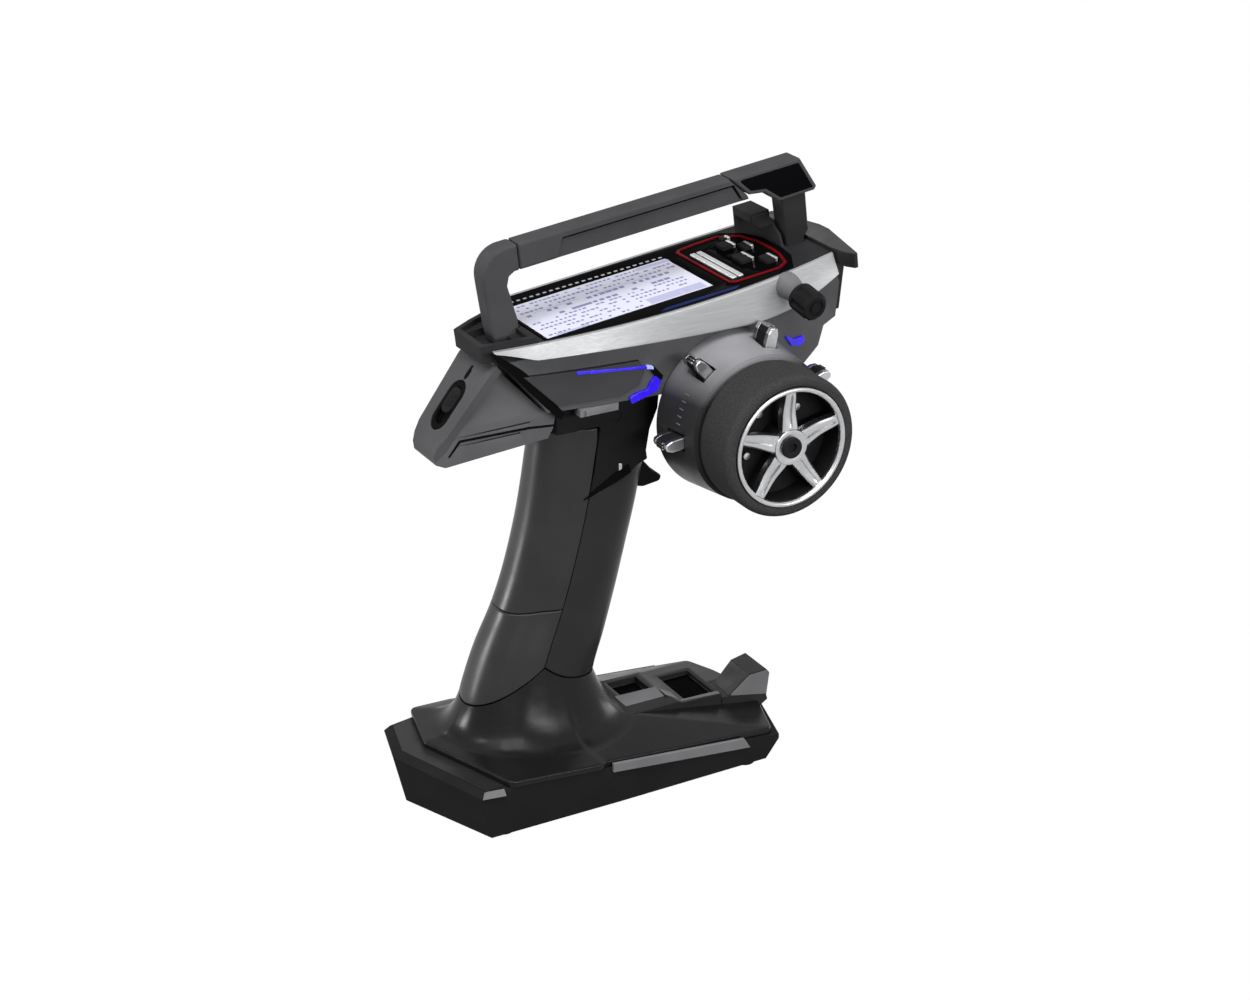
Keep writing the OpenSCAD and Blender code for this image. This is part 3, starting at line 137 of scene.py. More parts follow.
class Graph:
    """Node tree of one material while it is put together."""

    def __init__(self, name: str) -> None:
        """Start a material with its shader and object coordinates.

        Args:
            name: Name of the material.
        """
        self.material = bpy.data.materials.new(name)
        self.material.use_nodes = True
        self.tree = self.material.node_tree
        self.bsdf = self.tree.nodes["Principled BSDF"]
        self.where = self.add("ShaderNodeTexCoord").outputs["Object"]

    def add(self, kind: str, **values: object) -> bpy.types.Node:
        """Add a node and set its inputs by name.

        Args:
            kind: Type of the node.
            values: Input values, with underscores for spaces.

        Returns:
            The new node.
        """
        node = self.tree.nodes.new(kind)
        fill(node, values)
        return node

    def link(self, source: Socket, target: Socket) -> None:
        """Join two sockets."""
        self.tree.links.new(source, target)

    def feed(self, source: Socket, name: str) -> None:
        """Join a socket to an input of the shader."""
        self.link(source, self.bsdf.inputs[name])

    def keep(self, **values: object) -> None:
        """Set constant inputs of the shader, with underscores for spaces."""
        fill(self.bsdf, values)

    def pitched(self, stretch: Triple) -> Socket:
        """Pitch object coordinates as the upper body is, and stretch them.

        Args:
            stretch: Scale along each axis.

        Returns:
            The coordinates.
        """
        node = self.add("ShaderNodeMapping", Scale=stretch, Rotation=(0.0, FR.pitch, 0.0))
        self.link(self.where, node.inputs["Vector"])
        return node.outputs["Vector"]

    def noise(self, scale: float, detail: float = 3.0, where: Socket | None = None) -> Socket:
        """Noise of a given scale.

        Args:
            scale: Waves per metre.
            detail: Octaves.
            where: Coordinates, the object's own where none are given.

        Returns:
            The noise value, about 0.3 to 0.7.
        """
        node = self.add("ShaderNodeTexNoise", Scale=scale, Detail=detail)
        self.link(where or self.where, node.inputs["Vector"])
        return node.outputs["Fac"]

    def cells(self, scale: float) -> Socket:
        """Add round cells.

        Args:
            scale: Cells per metre.

        Returns:
            Distance to the middle of the nearest cell.
        """
        node = self.add("ShaderNodeTexVoronoi", Scale=scale)
        self.link(self.where, node.inputs["Vector"])
        return node.outputs["Distance"]

    def ramp(self, value: Socket, low: Triple, high: Triple, ends: Pair = USUAL) -> Socket:
        """Colour that runs from low to high with a value.

        Args:
            value: Driving value.
            low: Colour at the first end.
            high: Colour at the second end.
            ends: Values of the two colours.

        Returns:
            The colour socket.
        """
        node = self.add("ShaderNodeValToRGB")
        self.link(value, node.inputs["Fac"])
        for stop, place, colour in zip(node.color_ramp.elements, ends, (low, high)):
            stop.position = place
            stop.color = (*colour, 1.0)
        return node.outputs["Color"]

    def span(self, value: Socket, low: float, high: float) -> Socket:
        """Bring a value from a noise's usual range to another.

        Args:
            value: Value of a noise.
            low: Lower end of the new range.
            high: Upper end of the new range.

        Returns:
            The value in its new range.
        """
        node = self.add("ShaderNodeMapRange", From_Min=USUAL[0], From_Max=USUAL[1], To_Min=low, To_Max=high)
        self.link(value, node.inputs["Value"])
        return node.outputs["Result"]

    def bump(self, value: Socket, depth: float, strength: float = 1.0) -> None:
        """Let a value raise the surface.

        Args:
            value: Height, from 0 to 1.
            depth: Depth in millimetres.
            strength: Share of the bump that shows.
        """
        node = self.add("ShaderNodeBump", Strength=strength, Distance=depth * MM)
        self.link(value, node.inputs["Height"])
        self.feed(node.outputs["Normal"], "Normal")


def shade(colour: Triple, share: float) -> Triple:
    """A colour made darker or lighter by a factor."""
    return tuple(min(1.0, c * share) for c in colour)


@dataclass(frozen=True)
class Finish:
    """A surface finish: its colour, its gloss and the record's slot that it belongs to."""

    name: str
    slot: str
    colour: Triple
    rough: float
    grain: float = 2600.0
    depth: float = 0.012

    def material(self) -> bpy.types.Material:
        """Make the finish a material, on first use.

        Returns:
            The material.
        """
        made = bpy.data.materials.get(self.name)
        if made is None:
            graph = Graph(self.name)
            self.paint(graph)
            made = graph.material
        return made

    def tones(self, graph: Graph, value: Socket, dark: float, pale: float) -> Socket:
        """The colour between a darker and a paler share of itself, by a value."""
        return graph.ramp(value, shade(self.colour, dark), shade(self.colour, pale))

    def paint(self, graph: Graph) -> None:
        """Build the nodes of the finish."""
        raise NotImplementedError


@dataclass(frozen=True)
class SatinFinish(Finish):
    """A finish of one colour with soft patches, scuffs and a grain."""

    gloss: float = 0.35
    patches: ClassVar[float] = 45.0
    scuffs: ClassVar[float] = 160.0
    tone: ClassVar[Pair] = (0.88, 1.12)
    wear: ClassVar[Pair] = (0.05, 0.06)
    relief: ClassVar[float] = 0.6

    def grained(self, graph: Graph) -> Socket:
        """Height of the grain."""
        return graph.noise(self.grain, 2.0)

    def paint(self, graph: Graph) -> None:
        """Build the nodes of the finish.

        Args:
            graph: Node tree to build in.
        """
        graph.feed(self.tones(graph, graph.noise(self.patches, 5.0), *self.tone), "Base Color")
        scuffed = graph.noise(self.scuffs, 4.0)
        graph.feed(graph.span(scuffed, self.rough - self.wear[0], self.rough + self.wear[1]), "Roughness")
        graph.bump(self.grained(graph), self.depth, self.relief)
        graph.keep(Specular_IOR_Level=self.gloss)


@dataclass(frozen=True)
class MouldedPlastic(SatinFinish):
    """Moulded plastic with a fine spark-eroded grain and handled patches."""


@dataclass(frozen=True)
class TwoToneAndPaintedHighlight(MouldedPlastic):
    """Moulded plastic that grows paler from one plane to another: two tones of a moulding, and on the hub a painted
    highlight on its top.
    """

    pale: float = 1.9
    normal: Triple = (-0.785, 0.0, 0.62)
    dark_at: float = 0.15895
    pale_at: float = 0.15885
    pale_tone: ClassVar[Pair] = (0.9, 1.1)

    def paint(self, graph: Graph) -> None:
        """Build the nodes of the finish.

        Args:
            graph: Node tree to build in.
        """
        super().paint(graph)
        side = graph.add("ShaderNodeVectorMath")
        share = graph.add("ShaderNodeMapRange", From_Min=self.dark_at, From_Max=self.pale_at)
        pick = graph.add("ShaderNodeMix")
        side.operation, pick.data_type = "DOT_PRODUCT", "RGBA"
        graph.link(graph.where, side.inputs[0])
        side.inputs[1].default_value = self.normal
        graph.link(side.outputs["Value"], share.inputs["Value"])
        graph.link(share.outputs["Result"], pick.inputs["Factor"])
        inner, outer = ([n for n in pick.inputs if n.name == k and n.type == "RGBA"][0] for k in "AB")
        graph.link(graph.bsdf.inputs["Base Color"].links[0].from_socket, inner)
        light = shade(self.colour, self.pale)
        patches = graph.noise(self.patches, 5.0)
        graph.link(graph.ramp(patches, *(shade(light, tone) for tone in self.pale_tone)), outer)
        graph.feed(next(n for n in pick.outputs if n.type == "RGBA"), "Base Color")


@dataclass(frozen=True)
class SoftRubber(SatinFinish):
    """Smooth moulded rubber with a soft sheen and a skin of tiny dimples."""

    patches: ClassVar[float] = 30.0
    scuffs: ClassVar[float] = 90.0
    tone: ClassVar[Pair] = (0.8, 1.2)
    wear: ClassVar[Pair] = (0.04, 0.07)
    relief: ClassVar[float] = 0.5

    def grained(self, graph: Graph) -> Socket:
        """Height of the dimples."""
        return graph.cells(self.grain)


@dataclass(frozen=True)
class OpenFoam(Finish):
    """Cut foam rubber with open pores."""

    pore_share: ClassVar[float] = 0.35
    pore_shade_heights: ClassVar[Pair] = (0.5, 0.85)
    tone: ClassVar[Pair] = (0.7, 1.2)
    wear: ClassVar[Pair] = (0.05, 0.04)
    relief: ClassVar[float] = 0.8
    gloss: ClassVar[float] = 0.03

    def paint(self, graph: Graph) -> None:
        """Build the nodes of the finish.

        Args:
            graph: Node tree to build in.
        """
        pores = graph.cells(self.grain)
        patch = graph.noise(self.grain * 0.8, 4.0)
        mixed = graph.add("ShaderNodeMath")
        mixed.operation = "MULTIPLY_ADD"
        graph.link(pores, mixed.inputs[0])
        mixed.inputs[1].default_value = self.pore_share
        graph.link(patch, mixed.inputs[2])
        height = mixed.outputs[0]
        # The colour darkens down into the pores along with the bump: painted shade in the hollows, over the foam's
        # own uneven tone.
        dark, pale = (shade(self.colour, share) for share in self.tone)
        graph.feed(graph.ramp(height, dark, pale, self.pore_shade_heights), "Base Color")
        graph.feed(graph.span(patch, self.rough - self.wear[0], self.rough + self.wear[1]), "Roughness")
        graph.bump(height, self.depth, self.relief)
        graph.keep(Specular_IOR_Level=self.gloss)


class Brushing(Enum):
    """Direction in which a metal was brushed, as stretch of its grain."""

    LENGTHWISE = (0.012, 1.0, 1.0)
    ACROSS = (1.0, 0.012, 1.0)
    NONE = (1.0, 1.0, 1.0)


@dataclass(frozen=True)
class WorkedMetal(Finish):
    """Metal with brushed, turned or polished grain."""

    brushing: Brushing = Brushing.NONE
    swing: float = 0.06
    metal: float = 1.0
    tone: ClassVar[Pair] = (0.9, 1.06)
    relief: ClassVar[float] = 0.35
    gloss: ClassVar[float] = 0.2

    def paint(self, graph: Graph) -> None:
        """Build the nodes of the finish.

        Args:
            graph: Node tree to build in.
        """
        lines = graph.pitched(self.brushing.value)
        strokes = graph.noise(self.grain, 3.0, lines)
        graph.feed(self.tones(graph, strokes, *self.tone), "Base Color")
        scratches = graph.noise(self.grain * 0.6, 4.0, lines)
        graph.feed(graph.span(scratches, self.rough - self.swing, self.rough + self.swing), "Roughness")
        graph.bump(strokes, self.depth, self.relief)
        graph.keep(Metallic=self.metal, Specular_IOR_Level=self.gloss)


@dataclass(frozen=True)
class GlossPanel(Finish):
    """Polished window plastic with faint finger marks."""

    gloss: float = 0.3
    marks: ClassVar[float] = 35.0
    tone: ClassVar[Pair] = (0.8, 1.25)
    wear: ClassVar[float] = 0.08
    relief: ClassVar[float] = 0.15

    def paint(self, graph: Graph) -> None:
        """Build the nodes of the finish.

        Args:
            graph: Node tree to build in.
        """
        marks = graph.noise(self.marks, 6.0)
        graph.feed(self.tones(graph, marks, *self.tone), "Base Color")
        graph.feed(graph.span(marks, self.rough, self.rough + self.wear), "Roughness")
        graph.bump(graph.noise(self.grain, 2.0), self.depth, self.relief)
        graph.keep(Specular_IOR_Level=self.gloss)


@dataclass(frozen=True)
class LiquidCrystal(Finish):
    """Pale reflective display with its grid of picture dots."""

    dots: ClassVar[float] = 3200.0
    line: ClassVar[float] = 0.06
    line_tone: ClassVar[float] = 0.92
    tone: ClassVar[Pair] = (0.97, 1.03)
    wear: ClassVar[float] = 0.08
    film: ClassVar[float] = 0.002
    relief: ClassVar[float] = 0.1
    gloss: ClassVar[float] = 0.3

    def paint(self, graph: Graph) -> None:
        """Build the nodes of the finish.

        Args:
            graph: Node tree to build in.
        """
        brick = graph.add("ShaderNodeTexBrick", Scale=self.dots, Mortar_Size=self.line, Brick_Width=1.0,
                          Row_Height=1.0)
        brick.offset = 0.0
        graph.link(graph.pitched((1.0, 1.0, 1.0)), brick.inputs["Vector"])
        tint = self.tones(graph, graph.noise(25.0, 3.0), *self.tone)
        for name in ("Color1", "Color2"):
            graph.link(tint, brick.inputs[name])
        brick.inputs["Mortar"].default_value = (*shade(self.colour, self.line_tone), 1.0)
        graph.feed(brick.outputs["Color"], "Base Color")
        graph.feed(graph.span(graph.noise(60.0, 4.0), self.rough, self.rough + self.wear), "Roughness")
        graph.bump(graph.noise(self.grain, 2.0), self.film, self.relief)
        graph.keep(Specular_IOR_Level=self.gloss)


@dataclass(frozen=True)
class LitPlastic(Finish):
    """Light pipe that glows, a little unevenly, from within."""

    glow: float = 1.0
    tone: ClassVar[Pair] = (0.75, 1.35)
    wear: ClassVar[float] = 0.1
    film: ClassVar[float] = 0.002
    relief: ClassVar[float] = 0.2

    def paint(self, graph: Graph) -> None:
        """Build the nodes of the finish.

        Args:
            graph: Node tree to build in.
        """
        uneven = graph.noise(260.0, 2.0)
        lit = self.tones(graph, uneven, *self.tone)
        graph.feed(lit, "Base Color")
        graph.feed(lit, "Emission Color")
        graph.feed(graph.span(uneven, self.rough, self.rough + self.wear), "Roughness")
        graph.bump(graph.noise(self.grain, 2.0), self.film, self.relief)
        graph.keep(Emission_Strength=self.glow)


@dataclass(frozen=True)
class Circuit(Finish):
    """Lacquered board with a web of paler tracks."""

    track: ClassVar[Pair] = (0.05, 0.3)
    track_tone: ClassVar[float] = 1.8
    wear: ClassVar[float] = 0.1
    relief: ClassVar[float] = 0.4

    def paint(self, graph: Graph) -> None:
        """Build the nodes of the finish.

        Args:
            graph: Node tree to build in.
        """
        web = graph.cells(self.grain)
        graph.feed(graph.ramp(web, shade(self.colour, self.track_tone), self.colour, self.track), "Base Color")
        graph.feed(graph.span(graph.noise(200.0), self.rough, self.rough + self.wear), "Roughness")
        graph.bump(web, self.depth, self.relief)


SHELL = MouldedPlastic("shell_satin", "charcoal_plastic", (0.09, 0.09, 0.094), 0.46, gloss=0.05)
CHARCOAL = MouldedPlastic("charcoal_satin", "charcoal_plastic", (0.05, 0.05, 0.0525), 0.46, gloss=0.05)
HANDLE = MouldedPlastic("handle_satin", "charcoal_plastic", (0.06, 0.06, 0.063), 0.5, gloss=0.02)
DECK = MouldedPlastic("deck_satin", "charcoal_plastic", (0.009, 0.009, 0.0095), 0.25, 2600.0, 0.005, 0.12)
DUSK = MouldedPlastic("charcoal_dark", "charcoal_plastic", (0.02, 0.02, 0.021), 0.32, gloss=0.1)
COVER = MouldedPlastic("cover_matt", "charcoal_plastic", (0.026, 0.026, 0.0275), 0.5, gloss=0.015)
POD = TwoToneAndPaintedHighlight("pod_satin", "charcoal_plastic", (0.07, 0.07, 0.073), 0.46, 2600.0, 0.012, 0.05, 1.45)
SLATE = MouldedPlastic("slate_satin", "slate_plastic", (0.16, 0.16, 0.165), 0.45, gloss=0.08)
# Hub: thirteen times paler towards its top, a painted highlight where the light falls on it from above.
HUB_PAINTED_TOP = TwoToneAndPaintedHighlight("hub_painted_top_highlight", "slate_plastic", (0.03, 0.03, 0.0315), 0.36, 2600.0, 0.006, 0.1, 13.0, (-0.2, 0.0, 0.98),
              0.164, 0.182)
BLACK = MouldedPlastic("black_matt", "black_plastic", (0.016, 0.016, 0.017), 0.45, gloss=0.01)
PITCH = MouldedPlastic("black_deep", "black_plastic", (0.004, 0.004, 0.0044), 0.5, gloss=0.01)
GLOSS = GlossPanel("black_window", "gloss_black", (0.003, 0.003, 0.0035), 0.06, gloss=0.002)
TINT = GlossPanel("blue_window_tint", "gloss_black", (0.008, 0.018, 0.1), 0.1, gloss=0.01)
RUBBER = SoftRubber("grip_skin", "grip_rubber", (0.015, 0.015, 0.0158), 0.33, 1900.0, 0.01, 0.28)
FOAM = OpenFoam("tyre_foam", "foam", (0.045, 0.045, 0.045), 0.93, 2600.0, 0.06)
BAND = WorkedMetal("brushed_band", "bright_band", (0.37, 0.374, 0.382), 0.58, 2400.0, 0.004,
                   Brushing.LENGTHWISE, metal=0.6)
CHROME = WorkedMetal("plated_chrome", "chrome", (0.47, 0.473, 0.482), 0.3, 900.0, 0.0001, Brushing.NONE, 0.03)
STEEL = WorkedMetal("turned_steel", "steel", (0.42, 0.42, 0.43), 0.3, 1800.0, 0.004, Brushing.ACROSS)
BRASS = WorkedMetal("drawn_brass", "brass", (0.6, 0.42, 0.16), 0.3, 1800.0, 0.004, Brushing.LENGTHWISE)
KEY = WorkedMetal("satin_key", "key_metal", (0.55, 0.55, 0.56), 0.3, 2600.0, 0.004, Brushing.ACROSS, metal=0.7)
GLASS = LiquidCrystal("display_glass", "display", (0.71, 0.71, 0.85), 0.16)
INK = LiquidCrystal("display_marks", "display", (0.2, 0.2, 0.42), 0.2)
SHADED = LiquidCrystal("display_block", "display", (0.46, 0.46, 0.68), 0.2)
BLUE = LitPlastic("lit_blue", "blue_light", (0.022, 0.006, 0.55), 0.2, glow=0.5)
SPARK = LitPlastic("lit_spot", "blue_light", (0.3, 0.33, 0.95), 0.2, glow=0.8)
RED = MouldedPlastic("red_lacquer", "red_line", (0.15, 0.003, 0.006), 0.32, 2000.0, 0.006, 0.01)
PALE = MouldedPlastic("pale_marks", "slate_plastic", (0.42, 0.42, 0.43), 0.5, 2400.0, 0.006)
BOARD = Circuit("lacquered_board", "board", (0.015, 0.12, 0.05), 0.35, 420.0, 0.03)
FILM = GlossPanel("battery_film", "battery", (0.05, 0.12, 0.3), 0.25, 900.0, 0.02)


# ---------------------------------------------------------------- mesh helpers


def welded(mesh: bpy.types.Mesh, reach: float) -> bmesh.types.BMesh:
    """Read a mesh and merge its doubled points.

    Args:
        mesh: Mesh to read.
        reach: Distance within which points merge, in metres.

    Returns:
        The mesh to work on.
    """
    bm = bmesh.new()
    bm.from_mesh(mesh)
    bmesh.ops.remove_doubles(bm, verts=bm.verts, dist=reach)
    return bm


def smoothed(bm: bmesh.types.BMesh, mesh: bpy.types.Mesh, limit: float) -> None:
    """Smooth all but the sharp edges and write the mesh back.

    Args:
        bm: Mesh that was worked on.
        mesh: Mesh to write to.
        limit: Angle in degrees from which an edge stays sharp.
    """
    for face in bm.faces:
        face.smooth = True
    for edge in bm.edges:
        edge.smooth = edge.calc_face_angle(0.0) < math.radians(limit)
    bm.to_mesh(mesh)
    bm.free()


def crease(mesh: bpy.types.Mesh, limit: float = SHARP) -> None:
    """Weld a mesh, turn its faces outwards and smooth all but its sharp edges.

    Args:
        mesh: Mesh to work on.
        limit: Angle in degrees from which an edge stays sharp.
    """
    bm = welded(mesh, 1e-6)
    bmesh.ops.dissolve_degenerate(bm, edges=bm.edges, dist=1e-7)
    bmesh.ops.recalc_face_normals(bm, faces=bm.faces)
    smoothed(bm, mesh, limit)


def linked(name: str, data: bpy.types.ID) -> Piece:
    """Make a new object of the scene.

    Args:
        name: Name of the object.
        data: Its mesh, lamp or camera.

    Returns:
        The object, at the origin.
    """
    piece = bpy.data.objects.new(name, data)
    bpy.context.scene.collection.objects.link(piece)
    return piece


def new_piece(
    name: str, points: Iterable[Vector], faces: Sequence[Sequence[int]], limit: float = SHARP
) -> Piece:
    """Make an object from points and faces.

    Args:
        name: Name of the piece.
        points: Points in metres of the row frame.
        faces: Point numbers of each face.
        limit: Angle in degrees from which an edge stays sharp.

    Returns:
        The object, at the origin.
    """
    mesh = bpy.data.meshes.new(name)
    mesh.from_pydata([tuple(p) for p in points], [], [list(f) for f in faces])
    crease(mesh, limit)
    return linked(name, mesh)


def bake(piece: Piece) -> Piece:
    """Turn a piece and its modifiers into a plain mesh.

    Args:
        piece: Piece to bake.

    Returns:
        The same piece.
    """
    graph = bpy.context.evaluated_depsgraph_get()
    made = bpy.data.meshes.new_from_object(piece.evaluated_get(graph), preserve_all_data_layers=True,
                                           depsgraph=graph)
    old = piece.data
    piece.modifiers.clear()
    piece.data = made
    bpy.data.meshes.remove(old)
    made.name = piece.name
    return piece


def even(piece: Piece) -> Piece:
    """Weight a piece's normals by face area, so that flat faces stay flat.

    Args:
        piece: Piece to work on.

    Returns:
        The same piece.
    """
    modifier = piece.modifiers.new("even", "WEIGHTED_NORMAL")
    modifier.keep_sharp = True
    return bake(piece)


def carve(piece: Piece, *cutters: Piece) -> Piece:
    """Cut other solids out of a piece.

    Args:
        piece: Piece to cut.
        cutters: Solids to cut out, which are used up.

    Returns:
        The same piece.
    """
    for cutter in cutters:
        modifier = piece.modifiers.new("cut", "BOOLEAN")
        modifier.operation = "DIFFERENCE"
        modifier.solver = "EXACT"
        modifier.object = cutter
        bpy.context.view_layer.update()
        bake(piece)
        bpy.data.objects.remove(cutter)
    crease(piece.data)
    return piece


def merged(name: str, pieces: Sequence[Piece]) -> Piece:
    """Make one object of several.

    Args:
        name: Name of the new object.
        pieces: Objects to join, which are used up.

    Returns:
        The new object.
    """
    bm = bmesh.new()
    for piece in pieces:
        bm.from_mesh(piece.data)
        bpy.data.objects.remove(piece)
    mesh = bpy.data.meshes.new(name)
    bm.to_mesh(mesh)
    bm.free()
    return linked(name, mesh)


def span_of(mesh: bpy.types.Mesh) -> tuple[np.ndarray, np.ndarray]:
    """Measure the box of a mesh.

    Args:
        mesh: Mesh to measure.

    Returns:
        The lowest and the highest corner.
    """
    points = np.empty(len(mesh.vertices) * 3)
    mesh.vertices.foreach_get("co", points)
    points = points.reshape(-1, 3)
    return points.min(0), points.max(0)


def surface_of(mesh: bpy.types.Mesh) -> float:
    """Area of a mesh's faces in square metres."""
    return sum(face.area for face in mesh.polygons)


def soften(piece: Piece, width: float) -> bool:
    """Round the sharp edges of a piece and bake it.

    Args:
        piece: Piece with a closed mesh.
        width: Width of the rounding in millimetres.

    Returns:
        Whether the rounding fitted: the piece neither grew nor lost much of its surface.
    """
    most_grown, most_changed = 0.3 * MM, 0.08
    low, high = span_of(piece.data)
    area = surface_of(piece.data)
    bevel = piece.modifiers.new("rounding", "BEVEL")
    bevel.width = width * MM
    bevel.segments = 2
    bevel.limit_method = "ANGLE"
    bevel.angle_limit = math.radians(SHARP_COPY)
    bevel.use_clamp_overlap = True
    bevel.miter_outer = "MITER_ARC"
    bevel.harden_normals = True
    bake(piece)
    new_low, new_high = span_of(piece.data)
    grown = max(np.abs(new_low - low).max(), np.abs(new_high - high).max())
    return grown < most_grown and abs(surface_of(piece.data) / area - 1) < most_changed


def copied(node: str, flatten: bool) -> Piece:
    """Copy a CAD node as one welded mesh.

    Args:
        node: Name of the CAD node.
        flatten: Whether triangles of one plane join into one face.

    Returns:
        The copy.
    """
    mesh = frame["nodes"][node].data.copy()
    name = f"{node}_shell"
    mesh.name = name
    mesh.materials.clear()
    bm = welded(mesh, 4e-6)
    bmesh.ops.dissolve_degenerate(bm, edges=bm.edges, dist=1e-6)
    if flatten:
        bmesh.ops.dissolve_limit(bm, angle_limit=math.radians(0.8), verts=bm.verts, edges=bm.edges,
                                 delimit=set())
        bmesh.ops.connect_verts_concave(bm, faces=bm.faces)
    smoothed(bm, mesh, SHARP_COPY)
    return linked(name, mesh)


def moulded(node: str, width: float) -> Piece:
    """Copy a CAD node and round its edges as a mould does.

    Args:
        node: Name of the CAD node.
        width: Width of the rounding in millimetres.

    Returns:
        The copy, with the widest rounding that fits it.
    """
    area = surface_of(frame["nodes"][node].data)
    for share, flatten in ((1.0, True), (0.5, True), (1.0, False), (0.4, False)):
        piece = copied(node, flatten)
        if abs(surface_of(piece.data) / area - 1) < 0.01 and soften(piece, width * share):
            return piece
        bpy.data.objects.remove(piece)
        LOG.info("%s: rounding of %.2f does not fit", node, width * share)
    return even(copied(node, False))


def fillet(points: Sequence[Pair], radius: float, steps: int = 4) -> list[Pair]:
    """Round the corners of a closed outline.

    Args:
        points: Corners of the outline.
        radius: Radius of the rounding.
        steps: Parts of each rounding.

    Returns:
        The rounded outline.
    """
    made: list[Pair] = []
    corners = [Vector(p) for p in points]
    for i, corner in enumerate(corners):
        back, on = corners[i - 1] - corner, corners[(i + 1) % len(corners)] - corner
        angle = back.angle(on)
        if angle > math.pi - 0.03 or radius <= 0:
            made.append(tuple(corner))
            continue
        reach = min(radius / math.tan(angle / 2), 0.45 * back.length, 0.45 * on.length)
        start, end = corner + back.normalized() * reach, corner + on.normalized() * reach
        for k in range(steps + 1):
            t = k / steps
            made.append(tuple((1 - t) ** 2 * start + 2 * t * (1 - t) * corner + t * t * end))
    return made


def rect(x0: float, y0: float, x1: float, y1: float) -> Line:
    """Corners of a rectangle."""
    return (x0, y0), (x1, y0), (x1, y1), (x0, y1)


def turned_left(points: Sequence[Pair]) -> list[Pair]:
    """The outline in counterclockwise order."""
    area = sum(p[0] * q[1] - q[0] * p[1] for p, q in zip(points, [*points[1:], points[0]]))
    return list(points) if area > 0 else list(reversed(points))


def inset(points: Sequence[Pair], depth: float) -> list[Pair]:
    """Move a counterclockwise outline inwards.

    Args:
        points: Corners of the outline.
        depth: Distance to move its sides.

    Returns:
        The smaller outline.
    """
    made: list[Pair] = []
    for i, point in enumerate(points):
        p, before, after = Vector(point), Vector(points[i - 1]), Vector(points[(i + 1) % len(points)])
        a, b = (p - before).normalized(), (after - p).normalized()
        na, nb = Vector((-a.y, a.x)), Vector((-b.y, b.x))
        made.append(tuple(p + (na + nb) / max(0.3, 1 + na.dot(nb)) * depth))
    return made


def grid_faces(rows: int, cols: int, round_rows: bool = False, round_cols: bool = False) -> list[list[int]]:
    """List the faces of a grid of points.

    Args:
        rows: Rows of points.
        cols: Points in each row.
        round_rows: Whether the last row joins the first.
        round_cols: Whether each row closes on itself.

    Returns:
        Point numbers of each face.
    """
    return [
        [i * cols + j, i * cols + (j + 1) % cols, (i + 1) % rows * cols + (j + 1) % cols, (i + 1) % rows * cols + j]
        for i in range(rows if round_rows else rows - 1)
        for j in range(cols if round_cols else cols - 1)
    ]


def slab(
    name: str, outline: Sequence[Pair], low: float, high: float, place: Place,
    edge: float = 0.5, corner: float = 0.8, steps: int = 3,
) -> Piece:
    """Make a plate with rounded corners and rounded rims.

    Args:
        name: Name of the piece.
        outline: Corners in two axes.
        low: Lower end along the third axis.
        high: Upper end along the third axis.
        place: Frame that the three axes belong to.
        edge: Radius of the rims.
        corner: Radius of the corners.
        steps: Facets of each rim.

    Returns:
        The piece.
    """
    base = turned_left(outline)
    swings = [math.pi / 2 * k / steps for k in range(steps + 1)]
    profile = [(edge * (1 - math.sin(a)), low + edge * (1 - math.cos(a))) for a in swings]
    profile += [(d, high + low - z) for d, z in reversed(profile)]
    loops = [fillet(inset(base, d), max(corner - d, 0.03)) for d, _ in profile]
    points = [place(x, y, z) for (_, z), loop in zip(profile, loops) for x, y in loop]
    cols, rows = len(loops[0]), len(profile)
    faces = grid_faces(rows, cols, round_cols=True)
    faces += [list(range(cols)), list(range((rows - 1) * cols, rows * cols))]
    return even(new_piece(name, points, faces))


def both_sides(
    name: str, outline: Sequence[Pair], near: float, far: float, place: Place,
    edge: float, corner: float, steps: int = 3,
) -> list[Piece]:
    """Make one plate on each side of a frame's ground.

    Args:
        name: Name of the plates.
        outline: Corners in two axes.
        near: Nearer end along the third axis.
        far: Farther end along the third axis.
        place: Frame that the three axes belong to.
        edge: Radius of the rims.
        corner: Radius of the corners.
        steps: Facets of each rim.

    Returns:
        The two plates.
    """
    return [slab(name, outline, low, high, place, edge, corner, steps) for low, high in ((-far, -near), (near, far))]


def lathe(name: str, section: Sequence[Pair], place: Place, steps: int = 96) -> Piece:
    """Turn a closed section (radius, height) about the third axis of a frame.

    Args:
        name: Name of the piece.
        section: Points of the section.
        place: Frame whose third axis is the axis of turning.
        steps: Parts of the full turn.

    Returns:
        The piece.
    """
    turns = [2 * math.pi * k / steps for k in range(steps)]
    points = [place(r * math.cos(a), r * math.sin(a), z) for r, z in section for a in turns]
    return even(new_piece(name, points, grid_faces(len(section), steps, True, True)))


def smooth_lookup(at: float, line: Line) -> float:
    """Read a smooth curve.

    Args:
        at: Place on the curve.
        line: Points (place, value) of the curve.

    Returns:
        The curve's value, level beyond its ends.
    """
    xs, ys = [p[0] for p in line], [p[1] for p in line]
    if at <= xs[0] or at >= xs[-1]:
        return ys[0] if at <= xs[0] else ys[-1]
    i = max(k for k in range(len(xs) - 1) if xs[k] <= at)

    def slope(k: int) -> float:
        """Slope of the curve at a point."""
        a, b = max(0, k - 1), min(len(xs) - 1, k + 1)
        return (ys[b] - ys[a]) / (xs[b] - xs[a])

    step = xs[i + 1] - xs[i]
    t = (at - xs[i]) / step
    return ((2 * t**3 - 3 * t**2 + 1) * ys[i] + (t**3 - 2 * t**2 + t) * step * slope(i)
            + (3 * t**2 - 2 * t**3) * ys[i + 1] + (t**3 - t**2) * step * slope(i + 1))


def mix(a: float, b: float, t: float) -> float:
    """Value between a and b at share t."""
    return a + (b - a) * t


